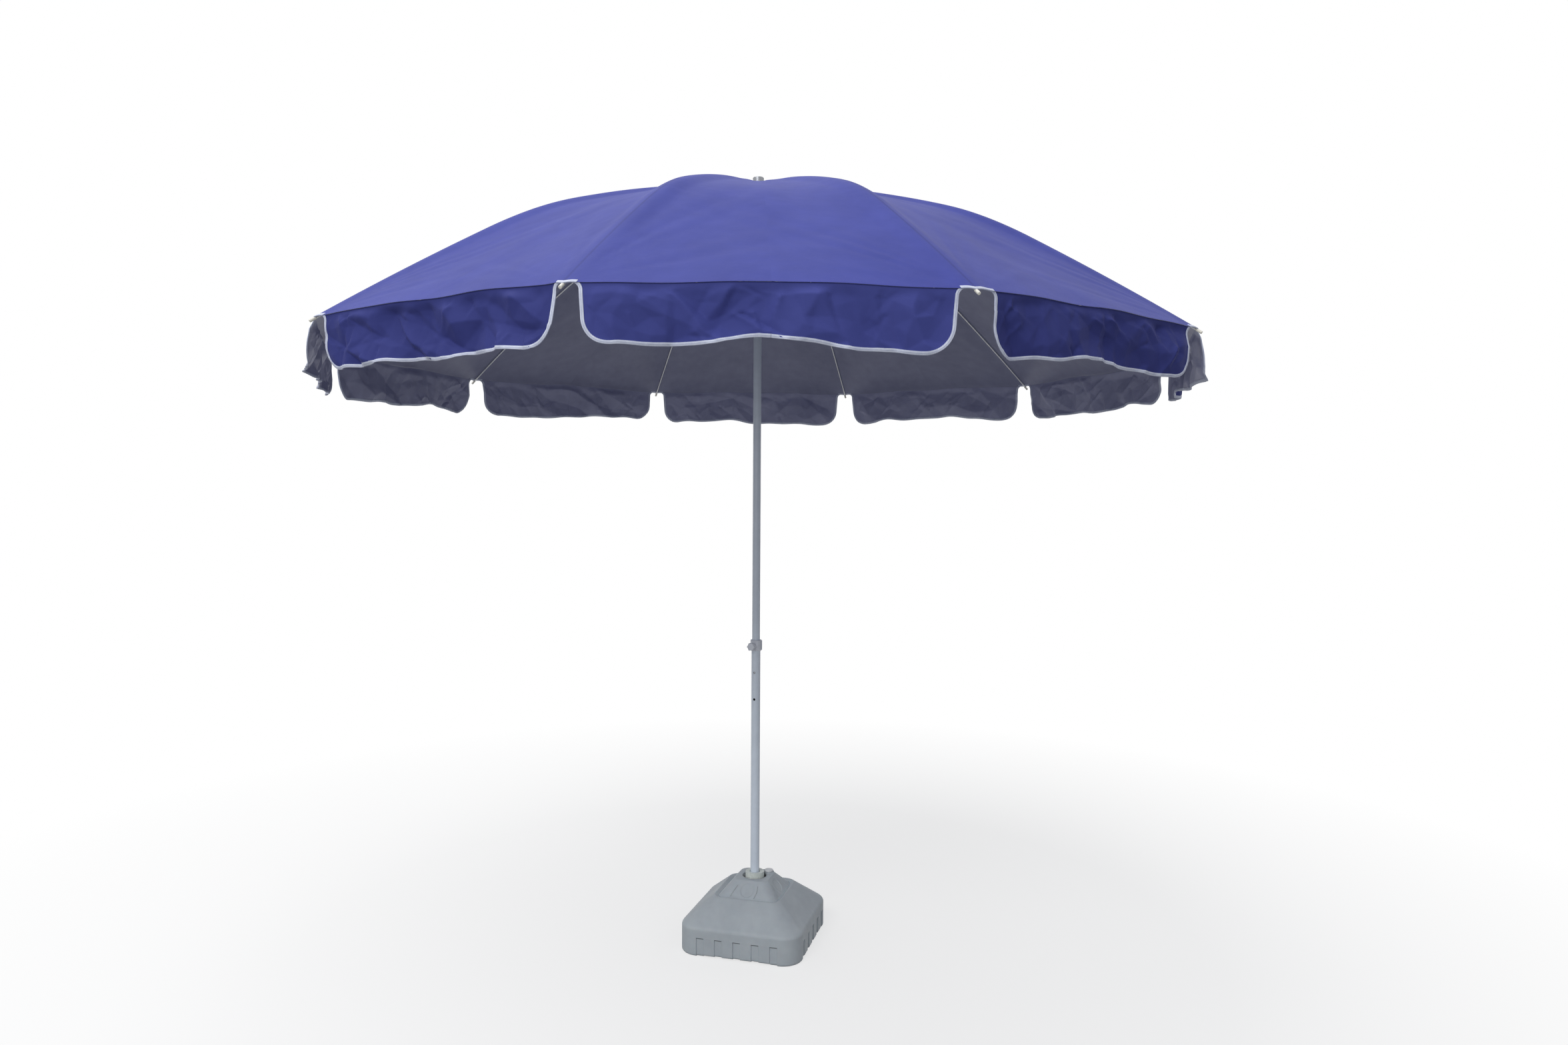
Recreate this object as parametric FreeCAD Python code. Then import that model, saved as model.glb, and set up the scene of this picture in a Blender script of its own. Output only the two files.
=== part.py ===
"""Patio umbrella with ten ribs, a telescoping steel pole and a water-filled base.

Millimetres, +Z up. The origin is on the ground, on the pole's axis. The base's sides lie along X and Y,
and rib 1 points along -Y. The umbrella is open and the pole is at its upper height setting.
"""

import FreeCAD, Part

import math
import os

Vec = FreeCAD.Vector

# ---------------------------------------------------------------- driving dimensions
rib_count = 10
canopy_radius = 1500.0          # outer end of the rib tip caps
rim_height = 2058.0             # rib tips above the ground
crown_pin_height = 2668.0       # pivots of the ribs
hinge_radius = 32.0             # pivot circle on the crown and on the runner
joint_reach = 700.0             # where the stretcher's plate sits along the rib, from the pole's axis
bend_reach = 1000.0             # where the rib's strongest bend ends
root_slope = 6.5                # rib's slope below level at the crown, degrees
joint_slope = 18.9              # at the joint plate
bend_slope = 31.0               # at the end of the strong bend
folded_tip_radius = 65.0        # where the tips come to lie when the umbrella is closed

rib_diameter = 5.5
stretcher_diameter = 5.5
eye_radius = 5.5                # flattened eyes at the pivots
eye_thickness = 5.0
pin_diameter = 4.0
pin_length = 14.0
pin_clearance = 0.05            # radial, running fit
seat_clearance = 0.15           # radial, the runner's open seats round the rivets
slot_width = 6.0                # notches of crown and runner
plate_drop = 10.0               # pivot of the joint plate below the rib's centre line
plate_thickness = 3.0
ear_thickness = 1.6             # ears of the stretcher's fork
fork_depth = 16.0
rivet_head = 1.2                # rivet past each ear
side_clearance = 0.3            # between a plate and the ears beside it
tip_cap_diameter = 8.5
tip_cap_length = 19.0
tip_cap_floor = 4.0
tip_cap_wall_gap = 0.1
tip_cap_round = 2.0

cloth_thickness = 0.8
cloth_clearance = 0.3
cloth_inner_radius = 14.0
cloth_crown_gap = 3.0           # cloth's middle above the crown
first_contact = 300.0           # radius from which the cloth lies on the ribs
cloth_spans = 8
cap_allowance = 0.8             # on the cap's diameter, for the cloth's curve before its corner
corner_gap = 12.0               # canopy corner behind the end of the tip cap
flap_height = 158.0
flap_corner_radius = 67.0
flap_tip_gap = 37.0             # flap's side from the rib tip

upper_tube_diameter = 28.0
lower_tube_diameter = 32.0
tube_wall = 1.2
lower_tube_foot = 14.0
lower_tube_top = 1070.0
upper_tube_foot = 905.0
hole_diameter = 8.5
hole_height = 959.0             # upper of the two height holes
hole_pitch = 96.0
hole_azimuth = -4.0             # degrees from -Y towards +X
bush_length = 22.0
bush_wall = 3.0
bush_clearance = 0.08           # radial, bush and collar on the tubes
plug_depth = 25.0               # end plug inside the lower tube

collar_diameter = 39.0
collar_height = 39.0
collar_lip = 6.0                # collar above the lower tube's mouth
collar_round = 2.5
screw_boss_radius = 10.5
screw_boss_length = 3.5         # out of the collar
seam_bead = (6.0, 2.5)          # width and height of the bead over the collar's seam
seam_azimuth = 105.0
knob_height = 1054.0
knob_azimuth = -13.0
knob_diameter = 29.0
knob_thickness = 16.0
knob_lobes = 6
lobe_radius = 4.5
lobe_setback = 4.0              # lobes start this far out along the knob
screw_diameter = 8.0

button_diameter = 7.6
button_flange_diameter = 10.5
button_play = 0.2               # between a button's flange and the tube's wall
button_flange_thickness = 2.0
button_round = 1.2
button_recess = 0.45            # snap button's face inside the lower tube's bore
catch_protrusion = 4.0
catch_azimuth = 90.0

crown_core_radius = 24.0
lug_radius = 40.0
crown_ring_height = 20.0
crown_foot_drop = 34.0          # crown's sleeve below its pivots
crown_roof = 6.0
finial_screw_radius = 4.0
finial_round = 4.5
finial_waist = (6.0, 5.0, 2.5)  # waist's height above the foot, its width and its depth
finial_diameter = 39.0
finial_top = 2712.0

runner_core_radius = 21.0
runner_bore_clearance = 0.5
runner_foot_drop = 40.0
runner_head_rise = 16.0
runner_ring_height = 18.0
runner_flange = (4.0, 5.0)      # how far it stands out, and its height
runner_shoulder = 3.0           # core's thicker part behind the lugs
keyway_gap = 0.6                # round the catch

base_side = 436.0
base_corner_radius = 70.0
base_foot_height = 4.0          # corners stand this much lower than the middle of each side
base_foot_edge = 119.5          # half width of the raised middle
band_height = 98.0
shoulder_radius = 20.0
bottom_radius = 9.0
slope_top_half = 121.0
slope_top_radius = 36.0
slope_top_height = 178.0
moat_depth = 6.5
moat_foot_half = 107.0
moat_foot_radius = 24.0
tier_top_half = 62.0
tier_top_radius = 28.0
tier_top_height = 227.0
slot_count = 5
side_slot_width = 25.5
side_slot_pitch = 66.0
side_slot_top = 65.0
side_slot_depth = 3.0
tank_wall = 4.0
recess_radius = 43.0
recess_floor = 213.0
well_radius = 16.6
well_wall = 3.6
well_floor = 8.0
neck_radius = 26.0
neck_height = 232.0
neck_bore = 22.0
neck_bore_floor = 221.0
nut_radius = 33.5
nut_foot = 215.0
nut_top = 238.0
nut_lip = 4.0
nut_lip_gap = 2.8               # between the lip and the pole
nut_clearance = 0.4
nut_flutes = 36
flute_radius = 1.5
flute_end_gap = 2.5             # plain rim at each end of the flutes
collet_taper = 1.7
collet_slit = 2.4
filler_offset = 41.0            # of the filler from the axis, along X and along Y
filler_bore = 10.0
filler_boss_radius = 18.5
cap_radius = 15.5
cap_head = 4.5
cap_round = 1.2
cap_plug_depth = 11.0
cap_plug_wall = 2.5
seal_thickness = 1.5
fit_gap = 0.3
water_gap = 0.4
water_height = 172.0

# ---------------------------------------------------------------- places worked out from them
pitch_angle = 360.0 / rib_count
half_pitch = math.radians(pitch_angle / 2)
upper_tube_radius = upper_tube_diameter / 2
lower_tube_radius = lower_tube_diameter / 2
cloth_corner = canopy_radius - corner_gap
cloth_centre_height = crown_pin_height + crown_ring_height / 2 + cloth_crown_gap
finial_foot = cloth_centre_height + cloth_thickness + cloth_clearance


def rib_angle(index):
    """Direction of a rib, in degrees from +X towards +Y."""
    return -90.0 + pitch_angle * index


def azimuth_angle(azimuth):
    """Direction given from -Y towards +X, in degrees from +X towards +Y."""
    return -90.0 + azimuth


def slope_vector(slope):
    """Unit vector that leads outwards and down in the XZ plane."""
    return Vec(math.cos(math.radians(slope)), 0, -math.sin(math.radians(slope)))


def below(slope):
    """Unit vector square to slope_vector, pointing in and down."""
    return Vec(-math.sin(math.radians(slope)), 0, -math.cos(math.radians(slope)))


class Bend:
    """Arc in the XZ plane that starts at start with first_slope and ends at the radius reach."""

    def __init__(self, start, first_slope, last_slope, reach):
        spread = math.sin(math.radians(last_slope)) - math.sin(math.radians(first_slope))
        self.radius = (reach - start.x) / spread
        self.centre = start + below(first_slope) * self.radius
        self.end = self.centre - below(last_slope) * self.radius
        middle = self.centre - below((first_slope + last_slope) / 2) * self.radius
        self.edge = Part.Arc(start, middle, self.end).toShape()

    def height(self, reach):
        rise = math.sqrt(self.radius**2 - (reach - self.centre.x) ** 2)
        return self.centre.z + math.copysign(rise, self.radius)


def outer_slope(start):
    """Slope at the tip with which an arc from start reaches the rim."""
    chord = math.degrees(math.atan2(start.z - rim_height, canopy_radius - start.x))
    return 2 * chord - bend_slope


crown_pivot = Vec(hinge_radius, 0, crown_pin_height)
inner_bend = Bend(crown_pivot, root_slope, joint_slope, joint_reach)
joint_point = inner_bend.end
middle_bend = Bend(joint_point, joint_slope, bend_slope, bend_reach)
tip_slope = outer_slope(middle_bend.end)
outer_bend = Bend(middle_bend.end, bend_slope, tip_slope, canopy_radius - tip_cap_floor)
tip_point = outer_bend.end
rib_bends = [inner_bend, middle_bend, outer_bend]
joint_pivot = joint_point + below(joint_slope) * plate_drop
arm = joint_pivot.sub(crown_pivot)
arm_length = arm.Length
arm_angle = math.atan2(-arm.z, arm.x)
runner_pivot_height = crown_pin_height + 2 * arm.z
tip_arm = Vec(canopy_radius, 0, rim_height).sub(crown_pivot)
tip_arm_angle = math.atan2(-tip_arm.z, tip_arm.x)
fold_angle = math.acos((folded_tip_radius - hinge_radius) / tip_arm.Length) - tip_arm_angle
runner_travel = 2 * arm_length * (math.sin(arm_angle + fold_angle) - math.sin(arm_angle))


# ---------------------------------------------------------------- helpers
def cylinder(radius, height, base=Vec(0, 0, 0), axis=Vec(0, 0, 1)):
    return Part.makeCylinder(radius, height, base, axis)


def ring(outer, inner, low, high):
    """Tube about the pole's axis."""
    return cylinder(outer, high - low, Vec(0, 0, low)).cut(
        cylinder(inner, high - low + 2, Vec(0, 0, low - 1))
    )


def block(x0, x1, y0, y1, z0, z1):
    return Part.makeBox(x1 - x0, y1 - y0, z1 - z0, Vec(x0, y0, z0))


def turned(shape, degrees):
    """Copy of a shape turned about the pole's axis."""
    copy = shape.copy()
    copy.rotate(Vec(0, 0, 0), Vec(0, 0, 1), degrees)
    return copy


def mirrored(shape):
    """Copy of a shape mirrored in the XZ plane."""
    return shape.mirror(Vec(0, 0, 0), Vec(0, 1, 0))


def joined(shapes):
    first = shapes[0]
    return first.multiFuse(shapes[1:]).removeSplitter()


def edges_at(shape, height, tolerance=0.01):
    """Edges that lie level at a height."""
    return [
        e
        for e in shape.Edges
        if abs(e.BoundBox.ZMin - height) < tolerance and abs(e.BoundBox.ZMax - height) < tolerance
    ]


def write(node, *solids):
    """Writes one sub-part: a solid, or a group of separate solids."""
    shape = solids[0] if len(solids) == 1 else Part.makeCompound(list(solids))
    shape.exportStep(f"parts/{node}.step")


def cross_pin(radius, length, centre):
    """Cylinder along Y with its middle at centre."""
    return cylinder(radius, length, centre - Vec(0, length / 2, 0), Vec(0, 1, 0))


def rod(start, end, diameter):
    return cylinder(diameter / 2, (end - start).Length, start, end.sub(start))


def rounded_square(half, radius, height):
    """Closed wire: a square with round corners, level at a height."""
    flat = half - radius
    cut = radius * math.cos(math.radians(45))
    edges = []
    for turn in range(4):
        side = Part.LineSegment(Vec(half, -flat, height), Vec(half, flat, height)).toShape()
        corner = Part.Arc(
            Vec(half, flat, height), Vec(flat + cut, flat + cut, height), Vec(flat, half, height)
        ).toShape()
        edges += [turned(side, 90 * turn), turned(corner, 90 * turn)]
    return Part.Wire(edges)


def frustum(low, high):
    """Solid between two rounded squares, each (half, radius, height)."""
    return Part.makeLoft([rounded_square(*low), rounded_square(*high)], True, True)


# ---------------------------------------------------------------- base
def side_slots(grow):
    """The upright slots of all four sides, enlarged by grow."""
    half = base_side / 2
    cutters = []
    for number in range(slot_count):
        middle = (number - (slot_count - 1) / 2) * side_slot_pitch
        slot = block(
            half - side_slot_depth - grow, half + 1 + grow,
            middle - side_slot_width / 2 - grow, middle + side_slot_width / 2 + grow,
            -1, side_slot_top + grow,
        )
        cutters += [turned(slot, 90 * side) for side in range(4)]
    return Part.makeCompound(cutters)


def tank_envelope(inset, floor, ceiling):
    """Band, slope and tier as one solid, with every side moved in by inset."""
    half = base_side / 2 - inset
    band_top = band_height - inset * 0.5
    slope_top = slope_top_height - inset
    band = frustum(
        (half, base_corner_radius - inset, floor), (half, base_corner_radius - inset, band_top)
    )
    slope = frustum(
        (half, base_corner_radius - inset, band_top),
        (slope_top_half - inset, slope_top_radius - inset, slope_top),
    )
    tier = frustum(
        (moat_foot_half - inset, moat_foot_radius - inset, slope_top - moat_depth),
        (tier_top_half - inset, tier_top_radius - inset, ceiling),
    )
    return band, slope, tier


def make_base_tank():
    band, slope, tier = tank_envelope(0, 0, tier_top_height)
    body = joined([band, slope])
    body = body.makeFillet(shoulder_radius, edges_at(body, band_height))
    body = body.makeFillet(bottom_radius, edges_at(body, 0))
    moat = frustum(
        (moat_foot_half + 2, moat_foot_radius + 2, slope_top_height - moat_depth),
        (slope_top_half - 3, slope_top_radius - 3, slope_top_height + 1),
    )
    filler = Vec(filler_offset, filler_offset, 0)
    boss = cylinder(filler_boss_radius, tier_top_height - recess_floor + tank_wall,
                    filler + Vec(0, 0, recess_floor - tank_wall))
    body = body.cut(moat).fuse(tier).cut(ring_recess())
    body = body.fuse([boss.cut(cylinder(nut_radius + 1.5, 60, Vec(0, 0, recess_floor))),
                      cylinder(neck_radius, neck_height - recess_floor + 2, Vec(0, 0, recess_floor - 2))])
    body = body.cut(side_slots(0))
    edge = base_side
    body = body.cut([
        block(-base_foot_edge, base_foot_edge, -edge, edge, -1, base_foot_height),
        block(-edge, edge, -base_foot_edge, base_foot_edge, -1, base_foot_height),
    ])
    chamber = make_chamber(tank_wall, recess_floor - tank_wall)
    body = body.cut(chamber)
    return body.cut([
        cylinder(well_radius, neck_height, Vec(0, 0, well_floor)),
        cylinder(neck_bore, neck_height, Vec(0, 0, neck_bore_floor)),
        cylinder(filler_bore, 60, filler + Vec(0, 0, recess_floor - 2 * tank_wall)),
    ])


def ring_recess():
    """Round recess in the tier's top, in which the nut turns."""
    return cylinder(recess_radius, 60, Vec(0, 0, recess_floor))


def make_chamber(wall, ceiling):
    """Hollow of the tank, round the pole's well, with its walls wall thick."""
    band, slope, tier = tank_envelope(wall, base_foot_height + wall, tier_top_height)
    chamber = band.fuse([slope, tier])
    chamber = chamber.common(block(-base_side, base_side, -base_side, base_side, 0, ceiling))
    well = cylinder(well_radius + well_wall + wall - tank_wall, tier_top_height)
    return chamber.cut([side_slots(wall), well])


def make_water():
    """Contents of the tank, just clear of its walls."""
    return make_chamber(tank_wall + water_gap, water_height)


def make_nut():
    nut = ring(nut_radius, neck_radius + nut_clearance, nut_foot, nut_top)
    lip = ring(nut_radius - 2, lower_tube_radius + nut_lip_gap, nut_top - nut_lip, nut_top)
    nut = joined([nut, lip])
    foot = Vec(nut_radius + flute_radius / 2, 0, nut_foot + flute_end_gap)
    flute = cylinder(flute_radius, nut_top - nut_foot - 2 * flute_end_gap, foot)
    return nut.cut([turned(flute, 360.0 / nut_flutes * number) for number in range(nut_flutes)])


def make_collet():
    """Split ring with a taper, between the pole and the nut's lip."""
    low = neck_bore_floor + fit_gap
    high = nut_top - nut_lip - fit_gap
    widest = neck_bore - fit_gap
    taper = Part.makeCone(widest, widest - collet_taper, high - low, Vec(0, 0, low))
    hollow = cylinder(lower_tube_radius + pin_clearance, 2 * neck_height)
    slit = block(0, nut_radius, -collet_slit / 2, collet_slit / 2, low - 1, high + 1)
    return taper.cut([hollow, slit])


def make_fill_cap():
    """Round cap with a plug that goes down the filler."""
    low = tier_top_height + seal_thickness
    centre = Vec(filler_offset, filler_offset, low)
    head = cylinder(cap_radius, cap_head, centre)
    head = head.makeFillet(cap_round, edges_at(head, low + cap_head))
    plug = cylinder(filler_bore - pin_clearance, cap_plug_depth + 1, centre - Vec(0, 0, cap_plug_depth))
    hollow = cylinder(filler_bore - cap_plug_wall, cap_plug_depth, centre - Vec(0, 0, cap_plug_depth + 1))
    return joined([head, plug]).cut(hollow)


def make_cap_seal():
    centre = Vec(filler_offset, filler_offset, tier_top_height)
    disc = cylinder(cap_radius - 1.5, seal_thickness, centre)
    return disc.cut(cylinder(filler_bore + 0.3, 10, centre - Vec(0, 0, 2)))


# ---------------------------------------------------------------- pole
def radial_cylinder(radius, inner, outer, height, angle):
    """Round bar that points away from the pole's axis."""
    return turned(cylinder(radius, outer - inner, Vec(inner, 0, height), Vec(1, 0, 0)), angle)


def make_lower_pole():
    tube = ring(lower_tube_radius, lower_tube_radius - tube_wall, lower_tube_foot, lower_tube_top)
    holes = [
        radial_cylinder(hole_diameter / 2, 5, 30, hole_height - hole_pitch * number,
                        azimuth_angle(hole_azimuth))
        for number in range(2)
    ]
    holes.append(radial_cylinder(screw_diameter / 2 + 0.6, 5, 30, knob_height, azimuth_angle(knob_azimuth)))
    return tube.cut(holes)


def make_lower_plug():
    """End plug: a flange under the tube and a stub inside it."""
    inner = lower_tube_radius - tube_wall - pin_clearance
    flange = cylinder(lower_tube_radius, lower_tube_foot - well_floor - fit_gap, Vec(0, 0, well_floor + fit_gap))
    stub = cylinder(inner, plug_depth, Vec(0, 0, lower_tube_foot - 1))
    hollow = cylinder(inner - bush_wall, plug_depth, Vec(0, 0, lower_tube_foot + 2))
    return joined([flange, stub]).cut(hollow)


def make_upper_pole():
    tube = ring(upper_tube_radius, upper_tube_radius - tube_wall, upper_tube_foot,
                crown_pin_height - 4)
    button = button_diameter / 2 + 0.1
    return tube.cut([
        radial_cylinder(button, 5, 30, hole_height, azimuth_angle(hole_azimuth)),
        radial_cylinder(button, 5, 30, catch_height(), azimuth_angle(catch_azimuth)),
    ])


def make_pole_bush():
    """Bush at the upper tube's foot: a collar that runs in the lower tube and a stub in the upper one."""
    runs_in = lower_tube_radius - tube_wall - bush_clearance
    stub_radius = upper_tube_radius - tube_wall - pin_clearance
    collar = cylinder(runs_in, bush_length / 2, Vec(0, 0, upper_tube_foot - bush_length / 2))
    stub = cylinder(stub_radius, bush_length / 2 + 1, Vec(0, 0, upper_tube_foot - 1))
    hollow = cylinder(stub_radius - bush_wall, 3 * bush_length, Vec(0, 0, upper_tube_foot - bush_length))
    return joined([collar, stub]).cut(hollow)


def make_button(reach, height, azimuth):
    """Sprung button through the upper tube's wall, with a flange inside the tube."""
    bore = upper_tube_radius - tube_wall
    flange_face = math.sqrt(bore**2 - (button_flange_diameter / 2) ** 2) - button_play
    foot = Vec(flange_face - 1, 0, height)
    pin = cylinder(button_diameter / 2, reach - foot.x, foot, Vec(1, 0, 0))
    pin = pin.makeFillet(button_round, [e for e in pin.Edges if abs(e.BoundBox.XMin - reach) < 0.01])
    flange_foot = Vec(flange_face - button_flange_thickness, 0, height)
    flange = cylinder(button_flange_diameter / 2, button_flange_thickness, flange_foot, Vec(1, 0, 0))
    return turned(joined([pin, flange]), azimuth_angle(azimuth))


def catch_height():
    """Height of the catch's middle, just under the open runner."""
    return runner_pivot_height - runner_foot_drop - fit_gap - button_diameter / 2


def make_clamp_collar():
    """Collar on the lower tube's mouth, with a boss for the screw and a bead over its seam."""
    top = lower_tube_top + collar_lip
    foot = top - collar_height
    outside = cylinder(collar_diameter / 2, collar_height, Vec(0, 0, foot))
    rims = edges_at(outside, foot) + edges_at(outside, top)
    outside = outside.makeFillet(collar_round, rims)
    screw_angle = azimuth_angle(knob_azimuth)
    boss_end = collar_diameter / 2 + screw_boss_length
    boss = radial_cylinder(screw_boss_radius, lower_tube_radius / 2, boss_end, knob_height, screw_angle)
    bead_width, bead_rise = seam_bead
    seam = block(lower_tube_radius + 1, collar_diameter / 2 + bead_rise, -bead_width / 2, bead_width / 2,
                 foot + collar_round, top - collar_round)
    body = joined([outside, boss, turned(seam, azimuth_angle(seam_azimuth))])
    return body.cut([
        cylinder(lower_tube_radius + pin_clearance, lower_tube_top - foot + 1, Vec(0, 0, foot - 1)),
        cylinder(upper_tube_radius + bush_clearance, collar_height, Vec(0, 0, lower_tube_top - 2)),
        radial_cylinder(screw_diameter / 2 + bush_clearance, 5, 40, knob_height, screw_angle),
    ])


def knob_foot():
    return collar_diameter / 2 + screw_boss_length + fit_gap


def make_clamp_knob():
    """Lobed knob with a round hub."""
    foot = knob_foot()
    axis = Vec(1, 0, 0)
    reach = knob_diameter / 2 - lobe_radius
    core = cylinder(reach + lobe_radius / 2, knob_thickness, Vec(foot, 0, knob_height), axis)
    lobes = []
    for number in range(knob_lobes):
        turn = math.radians(360.0 / knob_lobes * number)
        centre = Vec(foot + lobe_setback, reach * math.cos(turn), knob_height + reach * math.sin(turn))
        lobes.append(cylinder(lobe_radius, knob_thickness - lobe_setback, centre, axis))
    knob = joined([core] + lobes)
    knob = knob.cut(cylinder(screw_diameter / 2, 12, Vec(foot - 1, 0, knob_height), axis))
    return turned(knob, azimuth_angle(knob_azimuth))


def make_clamp_screw():
    inner = upper_tube_radius + fit_gap
    outer = knob_foot() + knob_thickness - 5
    return radial_cylinder(screw_diameter / 2, inner, outer, knob_height, azimuth_angle(knob_azimuth))


# ---------------------------------------------------------------- hubs
def lug_ring(low, high, core_radius):
    """Ring of lugs round a core, with one notch for each rib."""
    disc = ring(lug_radius, core_radius - 1, low, high)
    notch = block(core_radius + 1.0, lug_radius + 5, -slot_width / 2, slot_width / 2, low - 1, high + 1)
    return disc.cut([turned(notch, rib_angle(n)) for n in range(rib_count)])


def pin_centre(height):
    return Vec(hinge_radius, 0, height)


def make_crown_hub():
    ring_low = crown_pin_height - crown_ring_height / 2
    ring_high = crown_pin_height + crown_ring_height / 2
    core = ring(crown_core_radius, upper_tube_radius + pin_clearance, crown_pin_height - crown_foot_drop,
                ring_high)
    roof = cylinder(crown_core_radius, crown_roof, Vec(0, 0, ring_high - crown_roof))
    hub = joined([core, roof, lug_ring(ring_low, ring_high, crown_core_radius)])
    hub = hub.cut([
        turned(cross_pin(pin_diameter / 2, pin_length, pin_centre(crown_pin_height)), rib_angle(n))
        for n in range(rib_count)
    ])
    screw_hole = cylinder(finial_screw_radius + 0.2, crown_ring_height, Vec(0, 0, crown_pin_height))
    return hub.cut(screw_hole)


def make_crown_pins():
    pin = cross_pin(pin_diameter / 2, pin_length, pin_centre(crown_pin_height))
    return [turned(pin, rib_angle(n)) for n in range(rib_count)]


def make_finial():
    """Bright domed cap with a screw that goes down into the crown."""
    foot = finial_foot
    radius = finial_diameter / 2
    skirt = cylinder(radius, finial_top - foot, Vec(0, 0, foot))
    skirt = skirt.makeFillet(finial_round, edges_at(skirt, finial_top))
    waist_rise, waist_width, waist_depth = finial_waist
    waist = ring(radius + 5, radius - waist_depth, foot + waist_rise, foot + waist_rise + waist_width)
    screw = cylinder(finial_screw_radius, foot - crown_pin_height + 5, Vec(0, 0, crown_pin_height - 4))
    return joined([skirt.cut(waist), screw])


def make_runner():
    foot = runner_pivot_height - runner_foot_drop
    head = runner_pivot_height + runner_head_rise
    bore = upper_tube_radius + runner_bore_clearance
    ring_low = runner_pivot_height - runner_ring_height / 2
    ring_high = runner_pivot_height + runner_ring_height / 2
    flange_reach, flange_height = runner_flange
    shoulder = runner_core_radius + runner_shoulder
    core = ring(runner_core_radius, bore, foot, head)
    flange = ring(runner_core_radius + flange_reach, bore, foot, foot + flange_height)
    lugs = lug_ring(ring_low, ring_high, shoulder)
    hub = joined([core, flange, lugs, ring(shoulder, bore, ring_low, ring_high)])
    seat_radius = pin_diameter / 2 + seat_clearance
    seat_half = pin_length / 2 + side_clearance
    seat = cross_pin(seat_radius, 2 * seat_half, pin_centre(runner_pivot_height))
    mouth = block(hinge_radius - seat_radius, hinge_radius + seat_radius, -seat_half, seat_half,
                  ring_low - 1, runner_pivot_height)
    cutters = [turned(cutter, rib_angle(number)) for number in range(rib_count) for cutter in (seat, mouth)]
    hub = hub.cut(cutters)
    keyway_half = button_diameter / 2 + keyway_gap
    keyway = block(upper_tube_radius / 2, upper_tube_radius + catch_protrusion + keyway_gap,
                   -keyway_half, keyway_half, foot - 1, head + 1)
    return hub.cut(turned(keyway, azimuth_angle(catch_azimuth)))


# ---------------------------------------------------------------- ribs and stretchers
def make_rib():
    """Rib in the XZ plane: bent rod, crown eye, joint plate, and the tip cap as a second solid."""
    path = Part.Wire([bend.edge for bend in rib_bends])
    section = Part.Wire([Part.Circle(crown_pivot, slope_vector(root_slope), rib_diameter / 2).toShape()])
    bar = path.makePipeShell([section], True, False)
    eye = cross_pin(eye_radius, eye_thickness, crown_pivot)
    plate = joined([
        cross_pin(eye_radius, plate_thickness, joint_pivot),
        plate_web(),
    ])
    bar = joined([bar, eye, plate])
    bar = bar.cut([
        cross_pin(pin_diameter / 2 + pin_clearance, 20, crown_pivot),
        cross_pin(pin_diameter / 2 + pin_clearance, 20, joint_pivot),
    ])
    return [bar, make_tip_cap()]


def plate_web():
    """Web between the rib and the pivot of its joint plate."""
    along = slope_vector(joint_slope) * eye_radius
    corners = [joint_point - along, joint_point + along, joint_pivot + along, joint_pivot - along]
    face = Part.Face(Part.makePolygon(corners + [corners[0]]))
    web = face.extrude(Vec(0, plate_thickness, 0))
    web.translate(Vec(0, -plate_thickness / 2, 0))
    return web


def make_tip_cap():
    """Round plastic cap over the end of the rod."""
    along = slope_vector(tip_slope)
    outer_end = tip_point + along * (canopy_radius - tip_point.x)
    start = outer_end - along * tip_cap_length
    cap = cylinder(tip_cap_diameter / 2, tip_cap_length, start, along)
    rims = [e for e in cap.Edges if e.Curve.TypeId == "Part::GeomCircle"]
    far_rim = [e for e in rims if e.BoundBox.XMax > canopy_radius - 3]
    cap = cap.makeFillet(tip_cap_round, far_rim)
    depth = (tip_point.sub(start)).Length + 0.2
    return cap.cut(cylinder(rib_diameter / 2 + tip_cap_wall_gap, depth, start, along))


def make_stretcher():
    """Straight stretcher in the XZ plane: a fork and its rivet outside, an eye and its rivet inside."""
    inner = pin_centre(runner_pivot_height)
    along = joint_pivot.sub(inner)
    along.normalize()
    gap = plate_thickness / 2 + side_clearance
    ear_reach = gap + ear_thickness
    bar = rod(inner, joint_pivot - along * fork_depth, stretcher_diameter)
    bridge = cross_pin(eye_radius, 2 * ear_reach, joint_pivot - along * fork_depth)
    ears = []
    for side in (-1, 1):
        middle = Vec(0, side * (gap + ear_thickness / 2), 0)
        ears.append(cross_pin(eye_radius, ear_thickness, joint_pivot + middle))
        ears.append(ear_strip(along, fork_depth, middle))
    eye = cross_pin(eye_radius, eye_thickness, inner)
    inner_rivet = cross_pin(pin_diameter / 2, pin_length, inner)
    outer_rivet = cross_pin(pin_diameter / 2, 2 * (ear_reach + rivet_head), joint_pivot)
    clear = cross_pin(eye_radius + 1.5, 2 * gap, joint_pivot)
    body = joined([bar, bridge, eye] + ears)
    body = body.cut(clear)
    return joined([body, inner_rivet, outer_rivet])


def ear_strip(along, length, middle):
    """Flat strip that joins one ear of the fork to its bridge."""
    across = Vec(-along.z, 0, along.x) * (eye_radius - 0.5)
    start = joint_pivot + middle - along * length
    end = joint_pivot + middle
    corners = [start - across, end - across, end + across, start + across]
    face = Part.Face(Part.makePolygon(corners + [corners[0]]))
    strip = face.extrude(Vec(0, ear_thickness, 0))
    strip.translate(Vec(0, -ear_thickness / 2, 0))
    return strip


# ---------------------------------------------------------------- cloth
def rib_height(reach):
    """Height of the rib's centre line at a radius."""
    bend = next((b for b in rib_bends if reach <= b.end.x), outer_bend)
    return bend.height(reach)


def cloth_lift(diameter):
    """Height of the cloth's underside above the centre line of what it lies on."""
    return (diameter / 2 + cloth_clearance) / math.cos(math.radians(tip_slope))


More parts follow.
